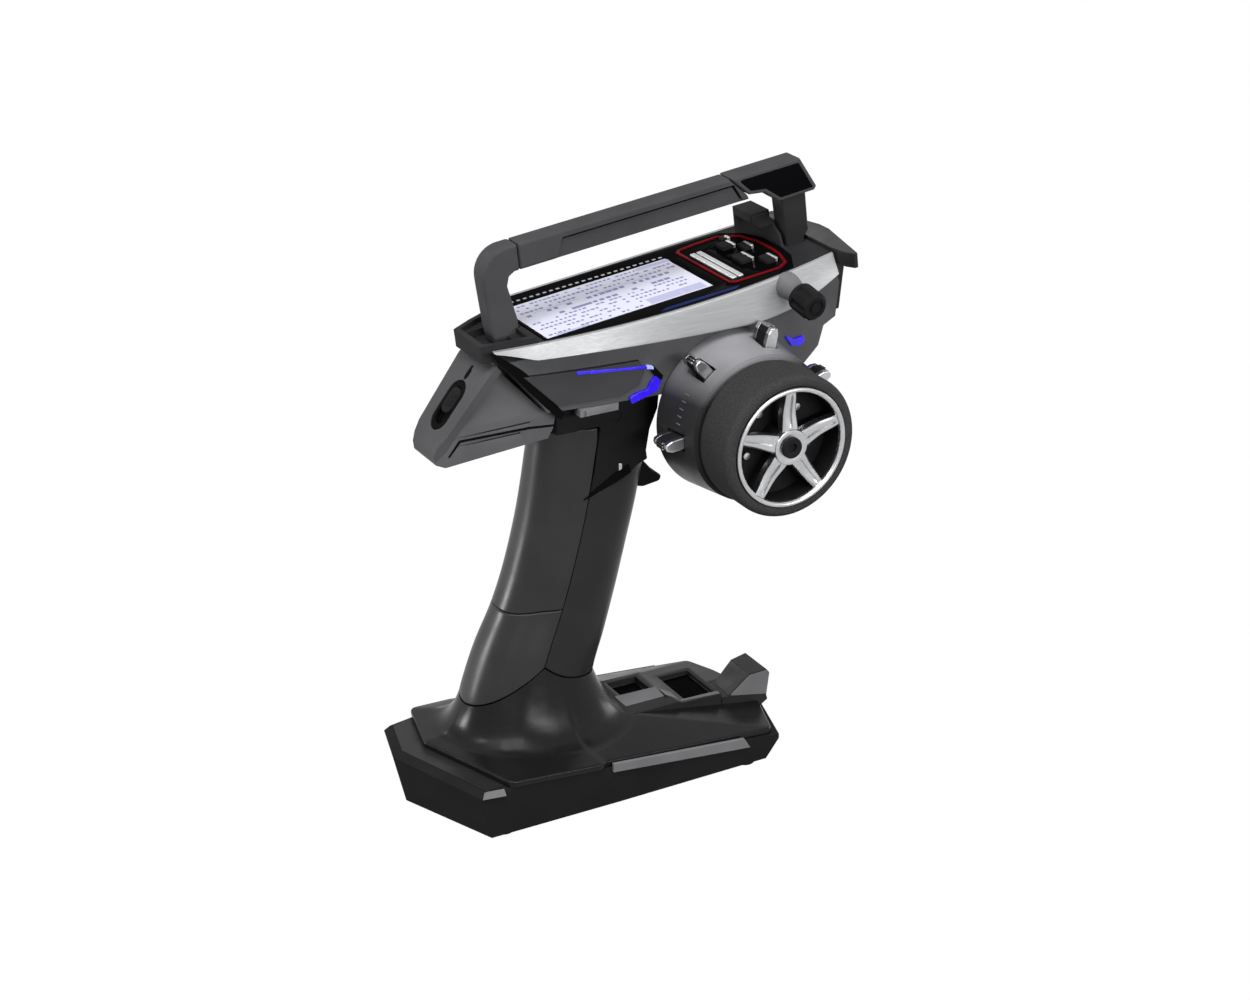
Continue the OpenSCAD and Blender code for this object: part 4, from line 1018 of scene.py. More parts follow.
def rounded_steps(length: float, count: int, radius: float = 0.5) -> Steps:
    """Shares along a sheet, with closer ones and inward depths near its two ends.

    Args:
        length: Length in millimetres.
        count: Even parts between the ends.
        radius: Radius of the rounded ends.

    Returns:
        The shares and the depth at each share.
    """
    near = [(0.0, 1.0), (0.13, 0.5), (0.5, 0.13), (1.0, 0.0)]
    start = [(r * radius / length, d * radius) for r, d in near]
    middle = [(mix(start[-1][0], 1 - start[-1][0], k / count), 0.0) for k in range(1, count)]
    steps = start + middle + [(1 - s, d) for s, d in reversed(start)]
    return [s for s, _ in steps], [d for _, d in steps]


def sheet(name: str, outer: Place, rows: Steps, cols: Steps, thick: float) -> Piece:
    """Make a curved wall with rounded edges.

    Args:
        name: Name of the piece.
        outer: Point at a share of the rows, a share of the columns and a depth under the surface.
        rows: Shares and depths along the rows.
        cols: Shares and depths along the columns.
        thick: Thickness of the wall.

    Returns:
        The piece.
    """
    many, wide = len(rows[0]), len(cols[0])
    points = [outer(r, c, max(dr, dc)) for r, dr in zip(*rows) for c, dc in zip(*cols)]
    points += [outer(r, c, thick) for r in rows[0] for c in cols[0]]
    half = many * wide
    faces = grid_faces(many, wide)
    faces += [[k + half for k in reversed(f)] for f in faces]
    rim = list(range(wide)) + [i * wide + wide - 1 for i in range(1, many)]
    rim += [(many - 1) * wide + j for j in range(wide - 2, -1, -1)] + [i * wide for i in range(many - 2, 0, -1)]
    faces += [[a, b, b + half, a + half] for a, b in zip(rim, [*rim[1:], rim[0]])]
    return even(new_piece(name, points, faces, 50.0))


# ---------------------------------------------------------------- repeats


class Copies:
    """Geometry Nodes tree that sets copies of a mesh on points."""

    sockets: ClassVar[dict[type, str]] = {
        int: "NodeSocketInt", float: "NodeSocketFloat", tuple: "NodeSocketVector"}

    def values(self) -> dict[str, object]:
        """The tree's named inputs."""
        raise NotImplementedError

    def spread(self, tree: bpy.types.NodeTree, start: bpy.types.Node, copies: bpy.types.Node) -> None:
        """Add the nodes for the points and for the stance of the copies."""
        raise NotImplementedError

    def apply(self, piece: Piece, finish: Finish) -> Piece:
        """Set the copies of a piece.

        Args:
            piece: One copy, in the frame that the inputs belong to.
            finish: Finish of the copies.

        Returns:
            The same piece with all copies in its mesh.
        """
        tree = bpy.data.node_groups.new("copies", "GeometryNodeTree")
        face, link, values = tree.interface, tree.links.new, self.values()
        face.new_socket("Geometry", in_out="INPUT", socket_type="NodeSocketGeometry")
        for name, value in values.items():
            face.new_socket(name, in_out="INPUT", socket_type=self.sockets[type(value)])
        face.new_socket("Geometry", in_out="OUTPUT", socket_type="NodeSocketGeometry")
        start, copies, real, paint, end = (tree.nodes.new(kind) for kind in (
            "NodeGroupInput", "GeometryNodeInstanceOnPoints", "GeometryNodeRealizeInstances",
            "GeometryNodeSetMaterial", "NodeGroupOutput"))
        self.spread(tree, start, copies)
        link(start.outputs["Geometry"], copies.inputs["Instance"])
        link(copies.outputs[0], real.inputs[0])
        link(real.outputs[0], paint.inputs["Geometry"])
        link(paint.outputs[0], end.inputs[0])
        paint.inputs["Material"].default_value = finish.material()
        modifier = piece.modifiers.new("copies", "NODES")
        modifier.node_group = tree
        for item in face.items_tree:
            if item.in_out == "INPUT" and item.name in values:
                modifier[item.identifier] = values[item.name]
        bake(piece)
        bpy.data.node_groups.remove(tree)
        return piece


@dataclass
class Repeat(Copies):
    """Copies in a row or round an axis."""

    count: int
    step: Triple = (0.0, 0.0, 0.0)
    turn: Triple = (0.0, 0.0, 0.0)
    first: Triple = (0.0, 0.0, 0.0)

    def values(self) -> dict[str, object]:
        """The tree's named inputs."""
        return {"Count": self.count, "Step": self.step, "Turn": self.turn, "First": self.first}

    def spread(self, tree: bpy.types.NodeTree, start: bpy.types.Node, copies: bpy.types.Node) -> None:
        """Set one point at each step and turn its copy further.

        Args:
            tree: Tree to add to.
            start: Node with the named inputs.
            copies: Node that sets a copy on each point.
        """
        add, link = tree.nodes.new, tree.links.new
        index, points, spin, move, turn = (add(kind) for kind in (
            "GeometryNodeInputIndex", "GeometryNodePoints", "FunctionNodeEulerToRotation",
            "ShaderNodeVectorMath", "ShaderNodeVectorMath"))
        move.operation, turn.operation = "MULTIPLY", "MULTIPLY_ADD"
        for number, source in enumerate((index.outputs[0], start.outputs["Step"])):
            link(source, move.inputs[number])
        for number, source in enumerate((index.outputs[0], start.outputs["Turn"], start.outputs["First"])):
            link(source, turn.inputs[number])
        link(start.outputs["Count"], points.inputs["Count"])
        link(move.outputs[0], points.inputs["Position"])
        link(turn.outputs[0], spin.inputs[0])
        link(points.outputs[0], copies.inputs["Points"])
        link(spin.outputs[0], copies.inputs["Rotation"])


@dataclass
class ScreenMarks(Copies):
    """Short bars, copies of a bar one millimetre long and wide, strewn over a field of a display."""

    columns: int
    rows: int
    width: float
    height: float
    shortest: float
    longest: float
    thick: float
    kept: float
    seed: int

    def values(self) -> dict[str, object]:
        """List the tree's named inputs.

        Returns:
            Value of each input, by name.
        """
        return {"Columns": self.columns, "Rows": self.rows, "Seed": self.seed, "Width": self.width * MM,
                "Height": self.height * MM, "Shortest": self.shortest, "Longest": self.longest,
                "Thick": self.thick, "Kept": self.kept}

    def spread(self, tree: bpy.types.NodeTree, start: bpy.types.Node, copies: bpy.types.Node) -> None:
        """Set a bar of random length on some points of a grid.

        Args:
            tree: Tree to add to.
            start: Node with the named inputs.
            copies: Node that sets a copy on each point.
        """
        link, given = tree.links.new, start.outputs
        grid, chance, length, size = (tree.nodes.new(kind) for kind in (
            "GeometryNodeMeshGrid", "FunctionNodeRandomValue", "FunctionNodeRandomValue", "ShaderNodeCombineXYZ"))
        chance.data_type, length.data_type = "BOOLEAN", "FLOAT"
        limits = [s for s in length.inputs if s.type == "VALUE" and s.enabled]
        picked, long = (next(s for s in node.outputs if s.enabled) for node in (chance, length))
        for source, target in (
            (given["Width"], grid.inputs["Size X"]), (given["Height"], grid.inputs["Size Y"]),
            (given["Columns"], grid.inputs["Vertices X"]), (given["Rows"], grid.inputs["Vertices Y"]),
            (given["Kept"], chance.inputs["Probability"]), (given["Seed"], chance.inputs["Seed"]),
            (given["Shortest"], limits[0]), (given["Longest"], limits[1]), (given["Seed"], length.inputs["Seed"]),
            (long, size.inputs["X"]), (given["Thick"], size.inputs["Y"]), (size.outputs[0], copies.inputs["Scale"]),
            (grid.outputs["Mesh"], copies.inputs["Points"]), (picked, copies.inputs["Selection"]),
        ):
            link(source, target)
        size.inputs["Z"].default_value = 1.0


def local(x: float, y: float, z: float) -> Vector:
    """Place of a piece that is still to be set into its own frame."""
    return Vector((x, y, z)) * MM


def settle(piece: Piece, place: Place) -> Piece:
    """Set a piece into its frame.

    Args:
        piece: Piece made with local().
        place: Frame to set it into.

    Returns:
        The same piece.
    """
    origin = place(0, 0, 0)
    axes = [(place(*a) - origin) / MM for a in ((1, 0, 0), (0, 1, 0), (0, 0, 1))]
    turn = Matrix(axes).transposed().to_4x4()
    piece.data.transform(Matrix.Translation(origin) @ turn)
    if turn.determinant() < 0:
        piece.data.flip_normals()
    return piece


# ---------------------------------------------------------------- dressing


def dress(piece: Piece, finish: Finish, node: str, stands: bool = True) -> Piece:
    """Give a piece its finish and its body.

    Args:
        piece: The piece.
        finish: Its finish.
        node: CAD node that it stands for, or that carries it.
        stands: Whether it stands for that node.

    Returns:
        The same piece.
    """
    piece.data.materials.clear()
    piece.data.materials.append(finish.material())
    body = frame["nodes"][node]["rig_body"]
    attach(piece, body)
    if stands:
        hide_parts(node)
    LOG.info("%s: %s on %s, %d faces", piece.name, finish.name, body, len(piece.data.polygons))
    return piece


def mould(node: str, width: float, finish: Finish) -> None:
    """Dress a CAD node in a copy of itself with rounded edges."""
    dress(moulded(node, width), finish, node)


def paint_nodes(**finishes: Finish) -> None:
    """Give CAD nodes that keep their shape a finish each.

    Args:
        finishes: Finish of each node, by name.
    """
    for node, finish in finishes.items():
        mesh = frame["nodes"][node].data
        mesh.materials.clear()
        mesh.materials.append(finish.material())
        LOG.info("%s: %s", node, finish.name)


# ---------------------------------------------------------------- grip


@dataclass
class Grip:
    """Grip with its front wall, its rear rubber and its palm rubber."""

    rear: Line = ((30, -110.6), (38, -109), (46, -107), (62, -101.2), (79, -93.2), (96, -87), (121, -80.6),
                  (150, -75.8))
    front: Line = ((30, -47), (38, -51), (46, -51.4), (62, -46.2), (79, -41), (96, -36.6), (121, -30.4),
                   (150, -24.4))
    half: Line = ((30, 18.2), (46, 17.4), (62, 16.6), (79, 15.4), (121, 15.2), (150, 14.4))
    power: float = 2.5
    seam: float = 104.0
    thick: float = 2.4
    joint: float = 80.0
    top: float = 154.8
    skirt_top: float = 46.0
    low_rear: float = 41.0
    low_seam: float = 57.0
    low_power: float = 1.6
    valley: float = 1.2
    valley_at: float = 46.0
    valley_wide: float = 15.0
    gap: float = 0.15
    seam_wide: float = 0.8
    neck_line: Line = ((-64, 124.4), (-30, 137.6))
    neck_at: float = 130.0
    neck_gap: float = 0.9
    notch: Line = rect(-50, 109, 10, 175)
    notch_half: float = 7.3

    def mid(self, w: float) -> float:
        """Station of the section's middle at a height."""
        return (smooth_lookup(w, self.rear) + smooth_lookup(w, self.front)) / 2

    def at(self, angle: float, w: float, depth: float = 0.0) -> Triple:
        """Point of the grip's section.

        Args:
            angle: Angle from straight ahead, in degrees.
            w: Height.
            depth: Distance under the surface.

        Returns:
            The point (u, v, w).
        """
        a = math.radians(angle)
        off = self.valley_at - abs(angle % 360 - 180)
        depth += self.valley * math.exp(-((off / self.valley_wide) ** 2))
        long = (smooth_lookup(w, self.front) - smooth_lookup(w, self.rear)) / 2 - depth
        wide = smooth_lookup(w, self.half) - depth
        r = ((abs(math.cos(a)) / long) ** self.power + (abs(math.sin(a)) / wide) ** self.power) ** (-1 / self.power)
        return self.mid(w) + r * math.cos(a), r * math.sin(a), w

    def rubber_low(self, angle: float) -> float:
        """Height of the palm rubber's lower edge at an angle."""
        return mix(self.low_rear, self.low_seam, (abs(angle - 180) / (180 - self.seam)) ** self.low_power)

    def root(self, angle: float) -> float:
        """Find the height at which the grip leaves the deck's skirt.

        Args:
            angle: Angle from straight ahead, in degrees.

        Returns:
            The height.
        """
        folded = abs(360 - angle if angle > 180 else angle)
        if folded > self.seam:
            return self.rubber_low(folded)
        return mix(self.skirt_top, self.low_seam, (folded / self.seam) ** 2)

    def neck_low(self, u: float) -> float:
        """Height of the neck's slanted lower edge at a station."""
        (rear, low), (front, high) = self.neck_line
        return mix(low, high, (u - rear) / (front - rear))

    def wall(
        self, name: str, start: float, end: float, low: Callable[[float], float], high: Callable[[float], float],
        tall: float,
    ) -> Piece:
        """Make one wall of the grip.

        Args:
            name: Name of the piece.
            start: First angle.
            end: Last angle.
            low: Lower edge by angle.
            high: Upper edge by angle.
            tall: Usual height, for the rounded edges.

        Returns:
            The wall.
        """

        def outer(row: float, col: float, depth: float) -> Vector:
            """Point of the wall at shares of its height and width."""
            angle = mix(start, end, col)
            return FR.at(*self.at(angle, mix(low(angle), high(angle), row), depth))

        return sheet(name, outer, rounded_steps(tall, 40), rounded_steps(70, 56), self.thick)

    def build(self) -> None:
        """Build and dress the grip."""
        start, end = self.seam, 360 - self.seam
        upper = self.wall("grip_rubber_skin", start, end, lambda a: self.joint + self.gap, lambda a: self.top, 75)
        dress(upper, RUBBER, "grip_rubber")
        palm = self.wall("palm_rubber_skin", start, end, self.rubber_low, lambda a: self.joint - self.gap, 32)
        dress(palm, RUBBER, "palm_rubber")
        edge = self.seam - self.seam_wide
        front = self.wall("grip_front_wall", -edge, edge, self.root,
                          lambda a: self.neck_low(self.at(a, self.neck_at)[0]) - self.neck_gap, 80)
        notch = slab("notch", self.notch, -self.notch_half, self.notch_half, across, 0.2, 0)
        dress(even(carve(front, notch)), DUSK, "grip_front")
        paint_nodes(grip_spine=BLACK)


@dataclass
class TriggerSet:
    """Neck with its latch, and the trigger with the pieces of its pivot."""

    half: float = 6.3
    profile: Line = ((-49.5, 154), (-49.5, 162), (-45, 163), (-29, 162), (-25.5, 158), (-28.2, 150), (-29.6, 141),
                     (-28, 132.6), (-23.6, 127.4), (-19.4, 124.2), (-20.4, 122), (-28, 121), (-34, 122.6),
                     (-38, 130), (-39.5, 145))
    side: float = -14.4
    wedge_span: Pair = (-15.35, -14.6)
    wedge: Line = ((-62, 125.0), (-46, 130.4), (-39, 133.4), (-40, 137), (-46, 134.6))
    slot: Line = ((-46, 133.4), (-41.8, 134.4), (-41.8, 139.2), (-46, 138.8))
    pin: Line = ((-44.6, 134.2), (-43, 134.6), (-43, 138.2), (-44.6, 138))

    def build(self) -> None:
        """Build and dress the neck and the trigger."""
        mould("neck_block", 0.6, BLACK)
        lever = slab("trigger_lever", self.profile, -self.half, self.half, across, 1.6, 3.0, 4)
        dress(lever, BLACK, "trigger")
        # Black sheet laid in the slanted gap under the neck's edge: painted shade for the gap.
        wedge = slab("neck_gap_shade", self.wedge, *self.wedge_span, across, 0.1, 0.4)
        dress(wedge, PITCH, "neck_block", False)
        slot = slab("latch_slot", self.slot, self.side - 0.15, self.side + 0.4, across, 0.12, 0.5)
        dress(slot, BLACK, "neck_block", False)
        latch = slab("latch_pin", self.pin, self.side - 0.8, self.side + 0.2, across, 0.35, 0.5)
        dress(latch, STEEL, "neck_block", False)
        paint_nodes(trigger_pin=BLACK, trigger_spring=STEEL, trigger_sensor=BOARD)


# ---------------------------------------------------------------- base


@dataclass
class Base:
    """Foot of the transmitter: tray, deck with its skirt, inlay, bumper, rails and feet."""

    grip: Grip
    outline: Line = ((-126, 1), (-117, -22), (-109, -43.4), (-68, -43.4), (-65, -41.6), (-30, -41.6), (14, -41),
                     (20, -24), (26, -6), (20, 16), (14, 29), (-30, 29.6), (-65, 29.6), (-68, 31.4),
                     (-100, 32.6), (-118.5, 30.8), (-123, 13))
    split: float = 14.0
    fall: float = 0.08
    rim: float = 3.0
    top: float = 28.0
    reach: float = 20.0
    most_reach: float = 0.75
    curve: float = 2.6
    corner_r: float = 4.0
    spacing: float = 2.5
    shares: tuple[float, ...] = (1, 0.9, 0.8, 0.7, 0.6, 0.5, 0.42, 0.34, 0.27, 0.2, 0.14, 0.09, 0.05, 0.02, 0)
    inner_shares: tuple[float, ...] = (0, 0.1, 0.3, 0.6, 1)
    wall: float = 2.2
    joint: float = 0.45
    gap: float = 0.9
    rounding: float = 0.9
    step: Line = ((-118.6, -41), (-135.2, 2), (-129.6, 23), (-117.5, 28.5), (-112, 28), (-118, 14), (-121, 2),
                  (-112, -20), (-105, -38))
    windows: tuple[tuple[Line, float], ...] = (
        (rect(-37.7, -4.3, -24.3, 7.6), 24.4), (rect(-12.7, -13.7, 1.2, 7.6), 21.6))
    inlay: Line = rect(-42.25, -17.25, 4, 10.75)
    bumper: Line = rect(3.9, -17.25, 32, 1.25)
    cut_span: Pair = (5, 45)
    ledges: tuple[tuple[Line, Triple], ...] = (
        (((-41, -4.6), (-21.6, -5.2), (-21.2, -11.8), (-39.6, -11.8)), (28.777, 0.0, 0.2154)),
        (((-20.9, -6), (-15.3, -7), (-15.3, -14), (-20.9, -12)), (16.0, -0.5333, 0.0)),
        (((-15, -14.3), (3.2, -14.3), (3.2, -16.7), (-15, -15.6)), (23.53, -0.0316, 0.0)))
    corner: tuple[Triple, ...] = ((-121.5, -43.6, 21.4), (-111.5, -44.2, 20.8), (-111.5, -42.2, 23),
                                  (-119.8, -41.7, 23.5))
    gusset_span: Pair = (-17.22, -16.4)
    gusset: Line = ((7.8, 21.2), (15.6, 27.2), (17.6, 28.6), (26, 28.8), (27.2, 27.1), (26.2, 17.4))
    foot: Line = ((0.01, 0.0), (2.6, 0.0), (3.0, 0.35), (3.4, 0.0), (3.8, 0.0), (4.2, 0.25), (4.5, 1.38),
                  (0.01, 1.38))
    first_foot: Pair = (-109, -35.6)
    foot_steps: tuple[Triple, ...] = ((113, 0, 0), (0, 58.6, 0))

    def split_at(self, u: float) -> float:
        """Height of the joint between tray and deck."""
        return self.split - self.fall * u

    def skirt(self, point: Pair, t: float, depth: float) -> Triple:
        """Point of the skirt between the grip's root and the deck's flat.

        Args:
            point: Point of the deck's outline.
            t: Share of the skirt's reach.
            depth: Distance under the surface.

        Returns:
            The point (u, v, w).
        """
        angle = math.degrees(math.atan2(point[1], point[0] - self.grip.mid(self.grip.skirt_top)))
        root_w = self.grip.root(angle % 360) - self.joint
        root = self.grip.at(angle, root_w, depth)
        out = Vector((point[0] - root[0], point[1] - root[1]))
        reach = min(self.reach, self.most_reach * out.length)
        flat = Vector(root[:2]) + out.normalized() * reach * t
        far = mix(self.top, self.split_at(point[0]) + self.rim, reach / out.length)
        curve = (1 - t) ** self.curve
        return flat.x, flat.y, mix(far, root_w, curve) - depth * (1 - curve)

    def deck(self) -> Piece:
        """Make the deck with its skirt and its opening for the inlay.

        Returns:
            The deck.
        """
        corners = turned_left(fillet(self.outline, self.corner_r, 5))
        loop: list[Pair] = []
        for p, q in zip(corners, [*corners[1:], corners[0]]):
            parts = max(1, round(math.dist(p, q) / self.spacing))
            loop += [(mix(p[0], q[0], k / parts), mix(p[1], q[1], k / parts)) for k in range(parts)]
        rows = [[(x, y, self.split_at(x) + rise) for x, y in inset(loop, depth)]
                for depth, rise in ((self.gap, 0.0), (self.gap, 0.5), (0.15, 0.7), (0.0, 0.95))]
        for k in range(5):
            a = math.pi / 2 * k / 4
            rows.append([(x, y, self.split_at(x) + self.rim - self.rounding * (1 - math.sin(a)))
                         for x, y in inset(loop, self.rounding * (1 - math.cos(a)))])
        rows += [[self.skirt(p, t, 0) for p in loop] for t in self.shares]
        rows += [[self.skirt(p, t, self.wall) for p in loop] for t in self.inner_shares]
        lip = inset(loop, self.wall + 0.4)
        rows += [[(x, y, self.split_at(x) + self.rim - self.wall) for x, y in lip],
                 [(x, y, self.split_at(x)) for x, y in lip]]
        points = [FR.at(*p) for row in rows for p in row]
        made = new_piece("deck_skin", points, grid_faces(len(rows), len(loop), True, True), 35.0)
        cuts = [slab("cut", outline, *self.cut_span, FR.at, 0.1, 0) for outline in (self.inlay, self.bumper)]
        return even(carve(made, *cuts))

    def on_split(self, x: float, y: float, z: float) -> Vector:
        """Point over the joint between tray and deck."""
        return FR.at(x, y, self.split_at(x) + z)

    def trim(self) -> None:
        """Build the plates on the rear step, in the inlay's windows and on the bumper."""
        corner = [FR.at(*p) for p in self.corner]
        out = (corner[1] - corner[0]).cross(corner[3] - corner[0]).normalized() * MM
        sides = [a + out * t for t in (-0.4, 0.12) for a in corner]
        faces = [[3, 2, 1, 0], [4, 5, 6, 7], *([k, (k + 1) % 4, (k + 1) % 4 + 4, k + 4] for k in range(4))]
        dress(new_piece("rear_corner_plate", sides, faces), SLATE, "base_tray", False)
        step = slab("rear_step_plate", self.step, -0.4, 0.1, self.on_split, 0.08, 1.0)
        dress(step, DUSK, "base_tray", False)
        floors = [slab("floor", corners, top - 0.5, top + 0.15, FR.at, 0.1, 0.6) for corners, top in self.windows]
        dress(even(merged("window_floors", floors)), GLOSS, "deck_inlay", False)
        ledges = [slab("ledge", corners, -0.3, 0.12, lambda x, y, z: FR.at(x, y, a + b * x + c * y + z), 0.08, 0.5)
                  for corners, (a, b, c) in self.ledges]
        dress(even(merged("inlay_ledges", ledges)), SLATE, "deck_inlay", False)
        gusset = slab("bumper_gusset", self.gusset, *self.gusset_span, across, 0.2, 0.6)
        dress(gusset, SLATE, "front_bumper", False)

    def feet(self) -> Piece:
        """Make the four rubber feet.

        Returns:
            The feet, as one piece.
        """
        u, v = self.first_foot
        one = lathe("foot_pads", self.foot, lambda x, y, z: local(x + u, y + v, z), 40)
        for step in self.foot_steps:
            Repeat(2, step=tuple(x * MM for x in step)).apply(one, BLACK)
        return settle(one, FR.at)

    def build(self) -> None:
        """Build and dress the base."""
        mould("base_tray", 0.5, BLACK)
        dress(self.deck(), DECK, "base_deck")
        mould("deck_inlay", 0.35, DUSK)
        mould("front_bumper", 0.6, DUSK)
        mould("side_rails", 0.3, SLATE)
        self.trim()
        mould("battery_door", 0.3, CHARCOAL)
        dress(self.feet(), BLACK, "base_feet")
        mould("base_screws", 0.15, STEEL)
        paint_nodes(battery_pack=FILM)


# ---------------------------------------------------------------- rear pod


@dataclass
class RearPod:
    """Pod behind the neck with its sliding power switch."""

    top: Pair = (-99.37, 185.98)
    tip: Pair = (-121.0, 158.6)
    halves: Line = ((-118, 12.0), (-72, 17.0))
    slot: Line = rect(1.2, -0.8, 7.4, 0.8)
    switch_at: float = 16.75
    switch_long: float = 11.0
    switch_wide: float = 7.0
    rib: Line = rect(-2.45, -2.3, -1.55, 2.3)
    rib_step: float = 2.0
    line: Line = ((-117.6, 154.6), (-116.6, 154.6), (-112.2, 160), (-84.4, 161.1), (-73.5, 160.6), (-73.5, 161.5),
                  (-84.4, 162.1), (-112.8, 161))

    def half_at(self, u: float) -> float:
        """Half width of the pod at a station."""
        (rear, narrow), (front, wide) = self.halves
        return mix(narrow, wide, (u - rear) / (front - rear))

    def on_face(self, x: float, y: float, z: float) -> Vector:
        """Point on the slanted face: x down the face, z out of it."""
        down = Vector((self.tip[0] - self.top[0], self.tip[1] - self.top[1])).normalized()
        return FR.at(self.top[0] + down.x * x + down.y * z, -y, self.top[1] + down.y * x - down.x * z)

    def build(self) -> None:
        """Build and dress the pod and its switch."""
        mould("rear_pod", 0.4, POD)
        mould("switch_bezel", 0.3, PITCH)
        slot = slab("pod_slot", self.slot, -0.4, 0.06, self.on_face, 0.05, 0.3)
        dress(slot, PITCH, "rear_pod", False)
        for name, side in (("pod_line_right", -1), ("pod_line_left", 1)):
            line = slab(name, self.line, -0.5, 0.1,
                        lambda u, w, z: FR.at(u, side * (self.half_at(u) + z), w), 0.05, 0.2)
            dress(line, PITCH, "rear_pod", False)
        a, b = self.switch_long / 2, self.switch_wide / 2
        slider = slab("slider", rect(-a, -b, a, b), -2.1, 0.3, local, 0.5, b)
        rib = slab("rib", self.rib, 0.1, 0.9, local, 0.3, 0.3, 2)
        ribs = Repeat(3, step=(self.rib_step * MM, 0, 0)).apply(rib, BLACK)
        knob = settle(merged("power_slider", [slider, ribs]),
                      lambda x, y, z: self.on_face(x + self.switch_at, y, z))
        dress(even(knob), BLACK, "power_switch")


# ---------------------------------------------------------------- upper body


@dataclass
class UpperBody:
    """Shells, cover, bright bands, side panel, light pipes and nose."""

    rear: float = -99.0
    front: float = 48.9
    mid: float = -11.0
    half: float = 30.4
    curve_top: float = 0.002
    curve_low: float = 0.0011
    low: float = 192.0
    rise_from: float = 2.0
    rise: float = 0.0058
    thick: float = 1.6
    least_drop: float = -3.0
    taper: Pair = (3.0, 16.0)
    recess: float = 5.8
    stripe_proud: float = 0.2
    sunk: float = -0.05
    pipe_proud: float = -1.4
    spark_proud: float = -1.48
    bend_proud: float = -1.3
    pipes: tuple[Line, ...] = (
        ((-67, 183.8), (-37.6, 181.6), (-37.6, 180.5), (-67.1, 182.4)),
        ((-34, 176.8), (-31.4, 174.5), (-33.1, 170.5), (-37.1, 169.1), (-44.1, 166.9), (-45, 169.6), (-41.5, 171.2),
         (-37.6, 171.7), (-35.8, 174.8)),
        ((26, 182.3), (30, 180), (34.9, 180.4), (36, 178.6), (33.6, 176.4), (29.3, 177.4)))
    spark: Line = ((-37.8, 181.9), (-35.2, 181.2), (-34.7, 179.7), (-37.8, 180.3))
    bend: Line = ((-35, 181.4), (-30.5, 176.4), (-31.4, 174.4), (-34, 176.6), (-36, 179.9))
    stripe_at: tuple[float, ...] = (0, 0.3, 0.75, 1)
    stripe_edges: tuple[Line, Line] = (
        ((-100.6, 194.6), (-94.6, 188.2), (-80.8, 172.1), (-73.2, 164.4)),
        ((-98.8, 194.8), (-87.6, 186.3), (-80.7, 177.7), (-71.4, 166.9)))

    def edge(self, s: float, lower: bool) -> float:
        """Side edge of the band at a station, its lower or its upper one."""
        bow = (s - self.mid) ** 2
        return -(self.half + 0.2 - self.curve_low * bow) if lower else -(self.half - self.curve_top * bow)

    def drop(self, s: float) -> float:
        """Depth of the band's lower edge under the cover's plane."""
        w = self.low + (self.rise * (s - self.rise_from) ** 2 if s > self.rise_from else 0.0)
        return min(FR.under_cover(s, w), self.least_drop)

    def band(self) -> Piece:
        """Make the bright band of the right side.

        Returns:
            The band.
        """

        def outer(row: float, col: float, depth: float) -> Vector:
            """Find a point of the band.

            Args:
                row: Share down from the upper edge.
                col: Share along the length.
                depth: Distance under the surface.

            Returns:
                The point.
            """
            s = mix(self.rear, self.front, col)
            taper = min(1.0, max(0.0, (s - self.rear + self.taper[0]) / self.taper[1]))
            t = mix(self.edge(s, False), self.edge(s, True), row * taper) + depth
            return FR.tilted(s, t, self.drop(s) * taper * row)

        return sheet("band_right_skin", outer, rounded_steps(13, 8, 0.6), rounded_steps(148, 90, 0.6), self.thick)

    def on_wall(self, u: float, w: float, z: float) -> Vector:
        """Point on the sunk right side, z inwards."""
        return FR.at(u, self.edge(u, True) + self.recess + z, w)

    def stripe(self) -> Piece:
        """Make the black stripe that runs down the right side behind its panel: painted shadow where the body's rear
        bevel lies in shade.

        Returns:
            The stripe.
        """

        def outer(row: float, col: float, depth: float) -> Vector:
            """Find a point of the stripe.

            Args:
                row: Share down its length.
                col: Share across its width.
                depth: Distance under the surface.

            Returns:
                The point.
            """
            (a, b), (c, d) = ((smooth_lookup(row, tuple(zip(self.stripe_at, line))) for line in zip(*edge))
                              for edge in self.stripe_edges)
            return self.on_wall(mix(a, c, col), mix(b, d, col), depth - self.stripe_proud)

        return sheet("side_painted_shadow", outer, rounded_steps(40, 24, 0.15), rounded_steps(6, 6, 0.15), 0.9)

    def build(self) -> None:
        """Build and dress the upper body."""
        for node, width, finish in (("body_right", 0.4, SHELL), ("body_left", 0.4, SHELL),
                                    ("top_cover", 0.4, COVER), ("name_panel", 0.35, CHARCOAL),
                                    ("front_bezel", 0.5, DUSK), ("band_left", 0.35, BAND),
                                    ("push_lever", 0.3, SLATE)):
            mould(node, width, finish)
        dress(self.band(), BAND, "band_right")
        # Painted shadow: black stripe where the body's rear bevel lies in shade.
        dress(self.stripe(), PITCH, "body_right", False)
        pipes = [slab("pipe", line, self.pipe_proud, self.sunk, self.on_wall, 0.2, 0.4) for line in self.pipes]
        dress(even(merged("lit_pipes", pipes)), BLUE, "light_pipes")
        spark = slab("lit_end", self.spark, self.spark_proud, self.sunk, self.on_wall, 0.2, 0.4)
        dress(spark, SPARK, "light_pipes", False)
        bend = slab("dark_bend", self.bend, self.bend_proud, self.sunk, self.on_wall, 0.2, 0.6)
        dress(bend, PITCH, "body_right", False)


# ---------------------------------------------------------------- control panel


